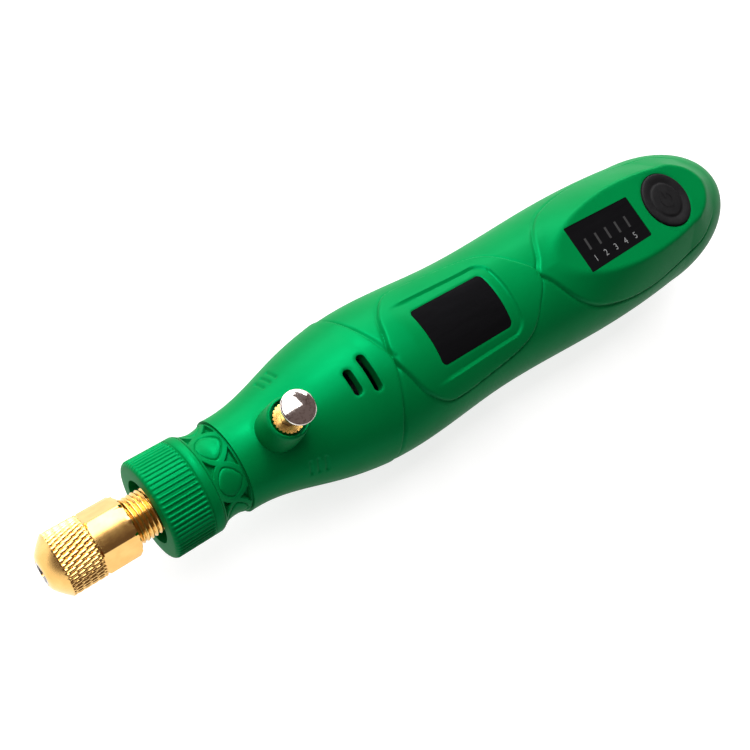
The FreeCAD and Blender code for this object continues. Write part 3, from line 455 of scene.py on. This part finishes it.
edge_rows = np.r_[np.linspace(63, 88.6, 11)[1:], 89.3, 90]
around = np.radians(np.r_[-edge_rows[::-1], np.linspace(-63, 63, 121), edge_rows])
rows = ((41.2, 26), (45.4, 36), (57.4, 44), (62.0, 50), (99.0, 160), (130.0, 120), (154.0, 90), (TAIL_X, 34))
shell = half_shell(rows, around, sculpted)
UP = (0, 0, 1)
CLEAR = 20
LABEL_FLOOR, WINDOW_FLOOR, WELL_FLOOR = 12.15, 13.3, 9.3
SOCKET_X = (152, 166)
boss_side = [(7.0, 0), (7.0, 3.85), (9.6, 3.82), (11.6, 3.75), (13.4, 3.65), (14.5, 3.56), (14.9, 3.48),
             (15.12, 3.35), (15.2, 3.2), (15.16, 3.05), (15.0, 2.95), (13.9, 2.94), (13.9, 0)]
shell = cut(shell, turned(boss_side, 96, (LOCK_X, 0, 0), UP, False), "UNION")
shell = cut(shell, cavity())
sleeve_bore = [(31.0, 0), (31.0, 6.65), (48.75, 6.65), (48.75, 4.3), (51.2, 4.3), (51.2, 0)]
button_bore = [(8.0, 0), (8.0, BUTTON_FLANGE), (12.6, BUTTON_FLANGE), (12.6, BUTTON_HOLE), (CLEAR, BUTTON_HOLE),
               (CLEAR, 0)]
label_seat = soft_box(LABEL_X - LABEL_REACH, LABEL_X + LABEL_REACH, LABEL_HALF, LABEL_CORNER)
window_seat = soft_box(*WINDOW_X, WINDOW_FRONT, 0.35, rear=WINDOW_REAR)
socket_hole = soft_box(-SOCKET_REACH, SOCKET_REACH, SOCKET_HALF, SOCKET_CORNER)
shell = cut(shell, joined([turned(sleeve_bore, 64, closed=False)] + [
    plate(stadium(x, 0, length, VENT_WIDTH), 5.4, CLEAR) for x, length in VENTS] + [
    plate(label_seat, LABEL_FLOOR, CLEAR),
    plate(window_seat, WINDOW_FLOOR, CLEAR),
    turned(button_bore, 96, (BUTTON_X, 0, 0), UP, False),
    plate(socket_hole, *SOCKET_X, (1, 0, 0)),
]))
lock_bore = [(0, 0), (0, 2.1), (12.5, 2.1), (12.5, 2.25), (14.2, 2.25), (14.2, 0)]
window_well = soft_box(WINDOW_X[0] + WINDOW_LEDGE, WINDOW_X[1] - WINDOW_LEDGE, WINDOW_FRONT - WINDOW_LEDGE, 0.3,
                       rear=WINDOW_REAR - WINDOW_LEDGE)
shell = cut(shell, joined([
    turned(lock_bore, 48, (LOCK_X, 0, 0), UP, False),
    plate(window_well, WELL_FLOOR, 14),
]))
upper = piece("upper_housing", shell, green)
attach(upper, "housing")
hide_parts("upper_shell")

# Lower shell: the plain green half below the parting line, with two moulded feet and six counterbores for the
# screws. The same ABS as the upper shell.
FEET = (56.8, 119.8)
SCREWS = [(x, side * y) for x, y in ((55.0, 8.0), (94.75, 9.0), (148.5, 7.5)) for side in (-1, 1)]
SCREW_HOLE = 1.95
screw_bore = [(-CLEAR, 0), (-CLEAR, SCREW_HOLE), (-6, SCREW_HOLE), (-6, 0)]


def belly(x, r, a):
    """The radius of the plain lower shell, with the end of the hood's groove."""
    return r + hooded(x, a) - seam(r, a)


lower_around = np.radians(np.r_[90, 90.7, np.linspace(91.4, 268.6, 95), 269.3, 270])
shell = half_shell(((56.0, 60), (62.0, 40), (TAIL_X, 200)), lower_around, belly)
shell = cut(shell, joined([plate(soft_box(x, x + 10.0, 5.0, 0.8), -14.8, -10.5) for x in FEET]), "UNION")
shell = cut(shell, cavity())
shell = cut(shell, joined([
    turned(sleeve_bore, 64, closed=False),
    plate(socket_hole, *SOCKET_X, (1, 0, 0)),
] + [plate(soft_box(x + 0.95, x + 9.05, 4.05, 0.3), -16, -14.1) for x in FEET]
  + [turned(screw_bore, 40, (x, y, 0), UP, False) for x, y in SCREWS]))
lower = piece("lower_housing", shell, green)
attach(lower, "housing")
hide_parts("lower_shell")

# Nose cap: the ribbed green ring that screws over the front of the sleeve. Moulded in the same ABS, with a
# rounded front edge, fine grip ribs and a plain ring behind them.
CAP_RIBS = 64
RIB_DEPTH = 0.20
cap_side = [(17.5, 5.6), (17.5, 7.7), (17.55, 8.02), (17.7, 8.3), (17.95, 8.5), (18.25, 8.6)]
cap_side += [(x, 8.6) for x in np.linspace(18.35, 24.3, 30)]
cap_side += [(24.42, 8.6), (24.5, 8.52), (24.62, 8.42), (24.74, 8.52), (24.84, 8.6), (26.0, 8.6), (26.2, 8.52),
             (26.3, 8.36), (26.3, 6.95), (19.3, 6.95), (19.3, 5.6)]


def rolled(points, steps, form):
    """A closed (along, radius) profile rolled round the X axis from a flat grid; form gives the radius."""
    bm = bmesh.new()
    bmesh.ops.create_grid(bm, x_segments=len(points), y_segments=steps, size=0.5)
    flat = np.array([v.co[:2] for v in bm.verts]) + 0.5
    x, r = np.array(points).T[:, np.rint(flat[:, 0] * len(points)).astype(int) % len(points)]
    a = 2 * math.pi / steps * (np.rint(flat[:, 1] * steps) % steps)
    made = form(x, r, a)
    for v, px, py, pz in zip(bm.verts, x, made * np.sin(a), made * np.cos(a)):
        v.co = (px * MM, py * MM, pz * MM)
    bmesh.ops.remove_doubles(bm, verts=bm.verts, dist=1e-8)
    bmesh.ops.recalc_face_normals(bm, faces=bm.faces)
    return bm


def ribbed(x, r, a):
    """Square-topped ribs with narrow grooves, which run out at both ends."""
    crest = np.abs(np.cos(0.5 * CAP_RIBS * a))
    ends = smooth((x - 17.6) / 0.7) * smooth((24.44 - x) / 0.25)
    return r - RIB_DEPTH * ends * (1 - smooth((crest - 0.66) / 0.28)) * (r > 7.9)


cap = rolled(cap_side, CAP_RIBS * 10, ribbed)
nose = piece("ribbed_cap", cap, green, 50)
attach(nose, "cap")
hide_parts("nose_cap")

# Dust seal: a ring of pressed dark felt that lies in the cap and wipes the spindle. It is cut from sheet, so its
# edges are soft and its faces a little uneven.


def pressed_felt(name):
    """Dark felt with matted fibres and lint."""
    finish = Finish(name)
    fibres = finish.noise(2400.0, 5.0, 0.7)
    matting = finish.noise(700.0, 3.0)
    colour = finish.ramp(fibres, (0.3, tone(0.016, 0.016, 0.017)), (0.7, tone(0.045, 0.045, 0.048)))
    finish.set(Base_Color=colour, Roughness=0.88 + 0.1 * matting, Normal=finish.bump(fibres, 0.7, 0.0001),
               Sheen_Weight=0.25)
    return finish.material


felt = pressed_felt("pressed_felt")
SEAL_X, SEAL_MIDDLE = 19.95, 5.65
SEAL_THICK, SEAL_WIDE = 0.57, 1.18
seal_side = [(SEAL_X, 4.44)] + [(SEAL_X + SEAL_THICK * u, SEAL_MIDDLE + SEAL_WIDE * v) for u, v in (
    (-0.6, -0.98), (-0.9, -0.9), (-1.0, -0.75), (-1.0, -0.4), (-1.0, 0.0), (-1.0, 0.4), (-1.0, 0.75), (-0.9, 0.92),
    (-0.6, 1.0), (0.0, 1.02), (0.6, 1.0), (0.9, 0.92), (1.0, 0.75), (1.0, 0.4), (1.0, 0.0), (1.0, -0.4),
    (1.0, -0.75), (0.9, -0.9), (0.6, -0.98))]


def uneven(x, r, a):
    """The slightly wavy radius of cut felt."""
    return r - 0.02 * (1 + np.sin(9 * a + 2 * x) * np.sin(5 * a + 1.3))


washer = piece("felt_ring", rolled(seal_side, 120, uneven), felt, 60)
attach(washer, "seal")
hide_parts("dust_seal")

# Nose sleeve: the waisted green collar between cap and housing, moulded in ABS with crossing ribs, raised ovals
# between them and small sunk triangles. The shells clamp it, and it carries both bearings inside.
OVALS = 7
OVAL_POWER = 1.5
OVAL_RISE, OVAL_GROOVE, TRIANGLE_DEPTH, REBATE = 0.06, 0.20, 0.80, 0.40
PIN_HOLE = 1.4
waist = [(26.3 + 0.055 * i, 7.5 + (1.0 if i < 50 else 0.7) * (0.02 * i - 1) ** 2) for i in range(101)]
sleeve_side = [(20.6, 5.5), (20.6, 6.9), (26.3, 6.9)] + waist
sleeve_side += [(31.8, 6.6), (48.7, 6.6), (48.7, 5.5), (44.7, 5.5), (44.7, 4.2), (25.6, 4.2), (25.6, 5.5)]


def lattice(x, r, a):
    """Raised ovals with a groove in each, sunk triangles between them, and a rebate against the housing."""
    turn = a * OVALS / (2 * math.pi)
    across = 2 * (turn - np.floor(turn)) - 1
    along = (x - 29.05) / 2.75
    out = (np.abs(along) ** OVAL_POWER + np.abs(across) ** OVAL_POWER) ** (1 / OVAL_POWER)
    lift = -TRIANGLE_DEPTH * smooth((out - 1.09) / 0.06) * smooth((0.87 - np.abs(along)) / 0.05)
    lift += OVAL_RISE * smooth((0.70 - out) / 0.2) - OVAL_GROOVE * np.exp(-((out - 0.75) / 0.04) ** 2)
    rebate = REBATE * smooth((along - 0.86) / 0.05)
    return r + (lift * smooth((1 - np.abs(along)) / 0.06) - rebate) * (r > 7.2)


sleeve = rolled(sleeve_side, OVALS * 72, lattice)
sleeve = cut(sleeve, turned([(0, 0), (0, PIN_HOLE), (9, PIN_HOLE), (9, 0)], 40, (LOCK_X, 0, 0), UP, False))
collar = piece("lattice_sleeve", sleeve, green, 60)
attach(collar, "housing")
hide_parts("nose_sleeve")

# Spindle: turned brass, with a fine screw thread on its nose for the collet nut, and a hole across it for the
# lock pin. The thread is cut, so its crests are bright.
PITCH = 0.75
THREAD_DEPTH = 0.30


def turned_brass(name, rough, lines):
    """Polished brass with fine turning lines and a slightly darker tarnish in patches."""
    finish = Finish(name)
    tarnish = finish.noise(420.0, 4.0)
    rings = finish.noise(1.0, 3.0, 0.6, (9000.0, 160.0, 160.0))
    colour = finish.ramp(tarnish, (0.25, tone(0.74, 0.43, 0.115)), (0.75, tone(0.86, 0.54, 0.17)))
    finish.set(Base_Color=colour, Metallic=1.0, Roughness=rough + 0.10 * rings)
    finish.set(Normal=finish.bump(rings, lines, 0.00004))
    return finish.material


brass = turned_brass("turned_brass", 0.16, 0.15)
spindle_side = [(2.5, 2.45), (2.5, 3.6)] + [(2.6 + 0.0625 * i, 3.95) for i in range(284)]
spindle_side += [(20.4, 3.9), (21.2, 3.9), (21.2, 3.1), (21.6, 3.1), (21.6, 2.5), (25.6, 2.5), (25.6, 3.1),
                 (26.0, 3.1), (26.0, 3.5), (44.3, 3.5), (44.3, 3.1), (44.7, 3.1), (44.7, 2.5), (48.7, 2.5),
                 (48.7, 2.0), (54.2, 2.0), (54.2, 0.0)]


def threaded(x, r, a):
    """A fine right-hand thread along the nose."""
    wave = (x / PITCH + a / (2 * math.pi)) % 1.0
    return r - THREAD_DEPTH * np.clip(2.5 * np.abs(wave - 0.5) - 0.2, 0, 1) * (r > 3.93)


spindle = rolled(spindle_side + [(15.3, 0.0), (15.3, 2.45)], 128, threaded)
spindle = cut(spindle, turned([(-6, 0), (-6, PIN_HOLE), (6, PIN_HOLE), (6, 0)], 40, (LOCK_X, 0, 0), UP, False))
shaft = piece("threaded_spindle", spindle, brass, 40)
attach(shaft, "spindle")
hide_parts("spindle")

# Collet nut: turned brass with a domed front, a diamond knurl for the fingers and a hexagon for the spanner. It
# screws onto the spindle's nose and closes the collet on the shank of a burr.
KNURLS = 41
KNURL_LEAN = 0.067
KNURL_DEEP, KNURL_SHALLOW = 0.24, 0.12
FLAT = 4.55
DOME_END = 2.22
nut_side = [(0.35, 2.0), (0.0, 2.1), (0.04, 2.3)]
nut_side += [(x, 2.3 + 2.85 * (x / DOME_END) ** 0.76) for x in np.linspace(0.2, DOME_END, 12)]
nut_side += [(x, 5.25) for x in np.linspace(2.32, 7.75, 69)]
nut_side += [(7.85, 5.12), (7.95, 4.95), (8.05, 4.9), (8.12, 5.1), (8.3, 5.254), (13.3, 5.254), (13.8, 4.9),
             (14.0, 4.5), (14.0, 4.0), (2.2, 4.0), (2.2, 3.5)]


def knurled(x, r, a):
    """Two crossing sets of slanting grooves in front, and the six flats behind them."""
    first = np.abs(np.sin(0.5 * KNURLS * (a - KNURL_LEAN * x)))
    second = np.abs(np.sin(0.5 * KNURLS * (a + KNURL_LEAN * x)))
    ends = smooth((x - 2.27) / 0.2) * smooth((7.8 - x) / 0.2)
    made = r - ends * (KNURL_DEEP * (1 - first ** 0.7) + KNURL_SHALLOW * (1 - second ** 0.7)) * (r > 5.2)
    part = math.pi / 3
    flat = FLAT / np.cos((a - 0.5 * part) % part - 0.5 * part)
    return np.where((x > 7.9) & (r > 4.2), np.minimum(r, flat), made)


def chuck_brass(name):
    """Bright brass, satin on the knurl and dome, polished on the hexagon."""
    finish = Finish(name)
    along = finish.node("ShaderNodeSeparateXYZ", {}, {"Vector": finish.place}, "X")
    satin = finish.node("ShaderNodeMapRange", {}, {"Value": along, "From Min": 0.0077, "From Max": 0.0080,
                                                   "To Min": 0.20, "To Max": 0.02})
    tarnish = finish.noise(420.0, 4.0)
    rings = finish.noise(1.0, 3.0, 0.6, (9000.0, 160.0, 160.0))
    colour = finish.ramp(tarnish, (0.25, tone(0.76, 0.44, 0.13)), (0.75, tone(0.87, 0.55, 0.19)))
    finish.set(Base_Color=colour, Metallic=1.0, Roughness=satin + 0.05 * rings)
    finish.set(Normal=finish.bump(rings, 0.03, 0.00004))
    return finish.material


nut = rolled(nut_side, 533, knurled)
chuck = piece("knurled_nut", nut, chuck_brass("bright_brass"), 28)
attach(chuck, "nut")
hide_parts("collet_nut")

# Spindle lock: a nickel-plated mushroom knob pressed on a steel pin, which slides in a toothed brass bush and
# comes back on a wire spring. Turned, plated and polished.


def plated_nickel(name):
    """Bright nickel with faint polishing haze and a few darker pores."""
    finish = Finish(name)
    haze = finish.noise(900.0, 4.0)
    pores = finish.noise(1700.0, 3.0, 0.6)
    colour = finish.ramp(pores, (0.30, tone(0.50, 0.42, 0.38)), (0.52, tone(0.84, 0.78, 0.74)))
    finish.set(Base_Color=colour, Metallic=1.0, Roughness=0.05 + 0.14 * haze,
               Normal=finish.bump(haze, 0.20, 0.0001))
    return finish.material


nickel = plated_nickel("plated_nickel")
KNOB_TOP, KNOB_CROWN = 21.2, 5.0
knob_side = [(18.9, 1.25), (18.9, 1.5), (19.3, 2.2), (19.75, 2.66), (19.95, 2.78), (20.1, 2.8), (20.3, 2.79),
             (20.42, 2.73)]
knob_side += [(KNOB_TOP - KNOB_CROWN + KNOB_CROWN * math.cos(t), KNOB_CROWN * math.sin(t))
              for t in np.linspace(0.53, 0.02, 20)]
knob = turned(knob_side + [(KNOB_TOP, 0.0), (19.5, 0.0), (19.5, 1.25)], 96, (LOCK_X, 0, 0), UP)
button = piece("lock_mushroom", knob, nickel, 50)
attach(button, "lock")
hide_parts("lock_knob")

# Lock spring: a steel wire coil round the pin, with a close turn at each end. It is cold wound, sits in the
# chamber of the boss and is pressed flatter as the pin goes down.
WIRE = 0.17
COIL = 1.62
SPRING_Z = (6.7, 11.25)
CLOSE_TURN, OPEN_TURNS, TURN_STEPS = 0.8, 3.4, 40
low, high = SPRING_Z[0] + WIRE, SPRING_Z[1] - WIRE
close_rise = CLOSE_TURN * 2.2 * WIRE
spring = bmesh.new()
wire_start = Matrix.Translation(Vector((LOCK_X + COIL, 0, low)) * MM) @ Matrix.Rotation(0.5 * math.pi, 4, "X")
bmesh.ops.create_circle(spring, segments=10, radius=WIRE * MM, matrix=wire_start)
end = list(spring.verts) + list(spring.edges)
open_rise = high - low - 2 * close_rise
for turns, rise in ((CLOSE_TURN, close_rise), (OPEN_TURNS, open_rise), (CLOSE_TURN, close_rise)):
    steps = round(turns * TURN_STEPS)
    end = bmesh.ops.spin(spring, geom=end, cent=Vector((LOCK_X, 0, 0)) * MM, axis=UP, angle=2 * math.pi * turns,
                         dvec=(0, 0, rise / steps * MM), steps=steps)["geom_last"]
half_way = 0.5 * (low + high) * MM
for upper_end in (False, True):
    loose = [e for e in spring.edges if e.is_boundary and (e.verts[0].co.z > half_way) == upper_end]
    bmesh.ops.edgeloop_fill(spring, edges=loose)
bmesh.ops.recalc_face_normals(spring, faces=spring.faces)


def ground_steel(name, colour, rough, stretch):
    """Steel with drawing or grinding lines along one direction."""
    finish = Finish(name)
    lines = finish.noise(1.0, 3.0, 0.6, stretch)
    finish.set(Base_Color=finish.ramp(lines, (0.3, tone(*colour, by=0.82)), (0.7, tone(*colour))), Metallic=1.0,
               Roughness=rough + 0.14 * lines, Normal=finish.bump(lines, 0.12, 0.00004))
    return finish.material


spring_wire = ground_steel("spring_wire", (0.42, 0.43, 0.45), 0.25, (300.0, 300.0, 6000.0))
coil = piece("lock_coil", spring, spring_wire, 60)
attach(coil, "housing")
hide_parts("lock_spring")
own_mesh(coil)

# Label plate: a plain plate of glossy black acrylic, moulded to the curve of the grip and glued into its bed. It
# keeps the shape of its solid and gets its finish here.


def gloss_black(name, colour, rough):
    """Glossy black acrylic with faint wipe marks."""
    finish = Finish(name)
    wipes = finish.noise(1.0, 3.0, 0.6, (140.0, 900.0, 140.0))
    finish.set(Base_Color=finish.ramp(wipes, (0.3, tone(*colour)), (0.7, tone(*colour, by=1.25))),
               Roughness=rough + 0.05 * wipes, IOR=1.1)
    return finish.material


acrylic = gloss_black("black_acrylic", (0.003, 0.003, 0.0034), 0.16)

# Display window: a flat pane of the same black acrylic, let into the deck. Five dark speed bars and the digits
# 1 to 5 are screen printed on it.
WINDOW_TOP = 14.5
PRINT = 0.02
SPEEDS = 5
PRINT_STEP = 2.96
DIGIT_SIZE = 1.9


def printed(name, colour):
    """Screen print with a slightly uneven coat."""
    finish = Finish(name)
    worn = finish.noise(1800.0, 2.0)
    coat = finish.ramp(worn, (0.3, tone(*colour, by=0.85)), (0.7, tone(*colour)))
    finish.set(Base_Color=coat, Roughness=0.45)
    return finish.material


digit_print = printed("digit_print", (0.14, 0.143, 0.146))
bar_print = printed("bar_print", (0.015, 0.0155, 0.016))
bar = [(-0.34, -1.05), (0.22, -1.05), (0.34, 1.4), (-0.22, 1.4)]
bars = joined([plate([(x + along, up) for along, up in bar], WINDOW_TOP - 0.01, WINDOW_TOP + PRINT)
               for x in np.arange(SPEEDS) * PRINT_STEP + 110.7])
speed_bars = piece("speed_bars", bars, bar_print)
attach(speed_bars, "housing")
digits = bmesh.new()
for i in range(SPEEDS):
    text = bpy.data.curves.new("work", "FONT")
    text.body = str(i + 1)
    text.size = DIGIT_SIZE * MM
    text.align_x = "CENTER"
    text.extrude = PRINT * MM
    text.resolution_u = 4
    holder = bpy.data.objects.new("work", text)
    bpy.context.scene.collection.objects.link(holder)
    bpy.context.view_layer.update()
    mesh = bpy.data.meshes.new_from_object(holder.evaluated_get(bpy.context.evaluated_depsgraph_get()))
    mesh.transform(Matrix.Translation(Vector((110.45 + PRINT_STEP * i, -3.6, WINDOW_TOP)) * MM))
    digits.from_mesh(mesh)
    bpy.data.meshes.remove(mesh)
    bpy.data.objects.remove(holder)
    bpy.data.curves.remove(text)
bmesh.ops.remove_doubles(digits, verts=digits.verts, dist=1e-8)
speed_digits = piece("speed_digits", digits, digit_print)
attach(speed_digits, "housing")

# Power button: a round black rubber key with a raised ring, a centre pad and a plain on-off sign on it. It is
# moulded in one with its flange, which holds it under the deck above the switch.


def black_rubber(name):
    """Matt moulded rubber with a fine grain and a trace of dust."""
    finish = Finish(name)
    grain = finish.noise(3600.0, 3.0)
    dust = finish.noise(500.0, 3.0)
    colour = finish.ramp(dust, (0.3, tone(0.0035, 0.0035, 0.004)), (0.75, tone(0.006, 0.006, 0.0065)))
    finish.set(Base_Color=colour, Roughness=0.55 + 0.14 * dust, Specular_IOR_Level=0.10,
               Normal=finish.bump(grain, 0.25, 0.00005))
    return finish.material


rubber = black_rubber("button_rubber")
key_side = [(11.85, 0), (11.85, 6.6), (12.55, 6.6), (12.55, 6.0), (14.5, 6.0), (14.68, 5.94), (14.8, 5.82),
            (14.86, 5.6), (14.86, 5.2), (14.8, 4.7), (14.66, 4.2), (14.6, 3.95), (14.62, 3.8), (14.7, 3.68),
            (14.78, 3.5), (14.8, 3.2), (14.8, 0)]
key = turned(key_side, 128, (BUTTON_X, 0, 0), UP, False)
press = piece("power_key", key, rubber, 40)
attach(press, "button")
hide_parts("power_button")
SIGN_OUTER, SIGN_INNER = 1.75, 1.35
sweep = np.radians(np.linspace(125, 415, 40))
outer = [(BUTTON_X + SIGN_OUTER * math.cos(t), SIGN_OUTER * math.sin(t)) for t in sweep]
inner = [(BUTTON_X + SIGN_INNER * math.cos(t), SIGN_INNER * math.sin(t)) for t in sweep[::-1]]
stem = [(x, y + 1.2) for x, y in soft_box(BUTTON_X - 0.2, BUTTON_X + 0.2, 0.85, 0.15)]
sign = joined([plate(outline, 14.7, 14.86) for outline in (outer + inner, stem)])
mark = piece("on_off_sign", sign, rubber)
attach(mark, "button")

# Inside and small parts: the collet, lock bush, bearings, motor, boards, cell, socket, screws and pads keep their
# solids. Each gets the finish of its material here. The can and coupling behind the vents are then coloured near
# black in place of their own colours, as painted shade inside the vents.


def plain_moulding(name, colour, rough, metal=0.0):
    """A moulded or pressed part with fine grain and mild cloudiness."""
    finish = Finish(name)
    clouds = finish.noise(300.0, 3.0)
    grain = finish.noise(4200.0, 2.0)
    shade = finish.ramp(clouds, (0.3, tone(*colour, by=0.86)), (0.7, tone(*colour)))
    finish.set(Base_Color=shade, Metallic=metal, Roughness=rough + 0.12 * clouds,
               Normal=finish.bump(grain, 0.12, 0.00005))
    return finish.material


finishes = {
    "brass": brass,
    "green_plastic": green,
    "black_gloss": acrylic,
    "black_rubber": rubber,
    "nickel": nickel,
    "steel": ground_steel("ground_steel", (0.60, 0.61, 0.63), 0.22, (9000.0, 200.0, 200.0)),
    "spring_steel": spring_wire,
    "zinc_screw": plain_moulding("black_zinc", (0.06, 0.06, 0.065), 0.32, 0.8),
    "bearing_steel": ground_steel("bearing_steel", (0.68, 0.69, 0.71), 0.14, (7000.0, 150.0, 150.0)),
    "grey_polymer": plain_moulding("grey_polymer", (0.055, 0.056, 0.062), 0.5),
    "white_polymer": plain_moulding("white_nylon", (0.72, 0.72, 0.68), 0.45),
    "ferrite": plain_moulding("ferrite", (0.03, 0.03, 0.033), 0.55),
    "lamination": ground_steel("iron_laminations", (0.30, 0.29, 0.27), 0.35, (16000.0, 60.0, 60.0)),
    "copper": plain_moulding("bare_copper", (0.78, 0.36, 0.20), 0.24, 1.0),
    "board_green": plain_moulding("solder_mask", (0.010, 0.12, 0.045), 0.3),
    "cell_wrap": plain_moulding("cell_wrap", (0.02, 0.10, 0.42), 0.28),
    "felt": felt,
}
for part in frame["record"]["subparts"]:
    mesh = frame["nodes"][part["node"]].data
    mesh.materials.clear()
    mesh.materials.append(finishes[part["material_slot"]])
# Painted shade: the steel can and the white nylon coupling get near-black colours so the vents look dark inside.
for node, finish in (("motor_can", plain_moulding("can_painted_vent_shade", (0.03, 0.03, 0.032), 0.42, 0.9)),
                     ("shaft_coupling", plain_moulding("coupling_painted_vent_shade", (0.02, 0.02, 0.022), 0.55))):
    frame["nodes"][node].data.materials[0] = finish

# Studio: a pale light table under the feet, a large soft panel and a small soft box above the far side, two low
# fills beside and behind the tool, a pale backdrop, and the camera at the photograph's place.
FLOOR_Z = -15.1
floor_mesh = bmesh.new()
bmesh.ops.create_grid(floor_mesh, x_segments=1, y_segments=1, size=3.0)
bmesh.ops.translate(floor_mesh, verts=floor_mesh.verts, vec=(0, 0, FLOOR_Z * MM))
paper = Finish("light_table")
glow = paper.ramp(paper.noise(40.0, 2.0), (0.3, tone(0.34, 0.34, 0.34)), (0.7, tone(0.36, 0.36, 0.36)))
paper.set(Base_Color=glow, Roughness=0.9, Specular_IOR_Level=0.1, Emission_Color=glow, Emission_Strength=2.3)
floor = piece("floor", floor_mesh, paper.material)


def lamp(name, place, target, size, power):
    """A soft rectangular light at a place, turned to a target."""
    light = bpy.data.lights.new(name, "AREA")
    light.shape = "RECTANGLE"
    light.size, light.size_y = size
    light.energy = power
    holder = bpy.data.objects.new(name, light)
    place = Vector(place)
    holder.location = place
    holder.rotation_euler = (Vector(target) - place).to_track_quat("-Z", "Y").to_euler()
    bpy.context.scene.collection.objects.link(holder)


middle = (0.085, 0, 0)
lamp("overhead_panel", (-0.02, 0.325, 0.45), (-0.02, 0.325, 0.0), (0.60, 0.55), 5.2)
lamp("key_box", (0.106, 0.408, 0.44), middle, (0.14, 0.14), 2.0)
lamp("side_fill", (0.14, 0.50, 0.16), middle, (0.46, 0.32), 3.4)
lamp("tail_fill", (0.46, 0.32, 0.135), middle, (0.26, 0.10), 0.85)
world = bpy.data.worlds.new("studio")
world.use_nodes = True
room = world.node_tree
dim = room.nodes["Background"]
dim.inputs["Color"].default_value = (1.0, 0.76, 0.72, 1)
dim.inputs["Strength"].default_value = 0.15
pale = room.nodes.new("ShaderNodeBackground")
pale.inputs["Color"].default_value = (0.86, 0.86, 0.86, 1)
seen = room.nodes.new("ShaderNodeLightPath")
backdrop = room.nodes.new("ShaderNodeMixShader")
room.links.new(seen.outputs["Is Camera Ray"], backdrop.inputs[0])
room.links.new(dim.outputs[0], backdrop.inputs[1])
room.links.new(pale.outputs[0], backdrop.inputs[2])
room.links.new(backdrop.outputs[0], room.nodes["World Output"].inputs["Surface"])
bpy.context.scene.world = world
bpy.context.scene.view_settings.view_transform = "Standard"

forward = Vector((0.4767, 0.0956, -0.8738)).normalized()
upward = Vector((0.4426, 0.8328, 0.3326))
upward = (upward - forward * upward.dot(forward)).normalized()
right = forward.cross(upward)
lens = bpy.data.cameras.new("camera")
lens.sensor_width = 36.0
lens.lens = 43.2
lens.clip_start = 0.001
camera = bpy.data.objects.new("camera", lens)
turn = Matrix((right, upward, -forward)).transposed().to_4x4()
camera.matrix_world = Matrix.Translation(Vector((-12.84, -14.88, 141.59)) * MM) @ turn
bpy.context.scene.collection.objects.link(camera)
bpy.context.scene.camera = camera
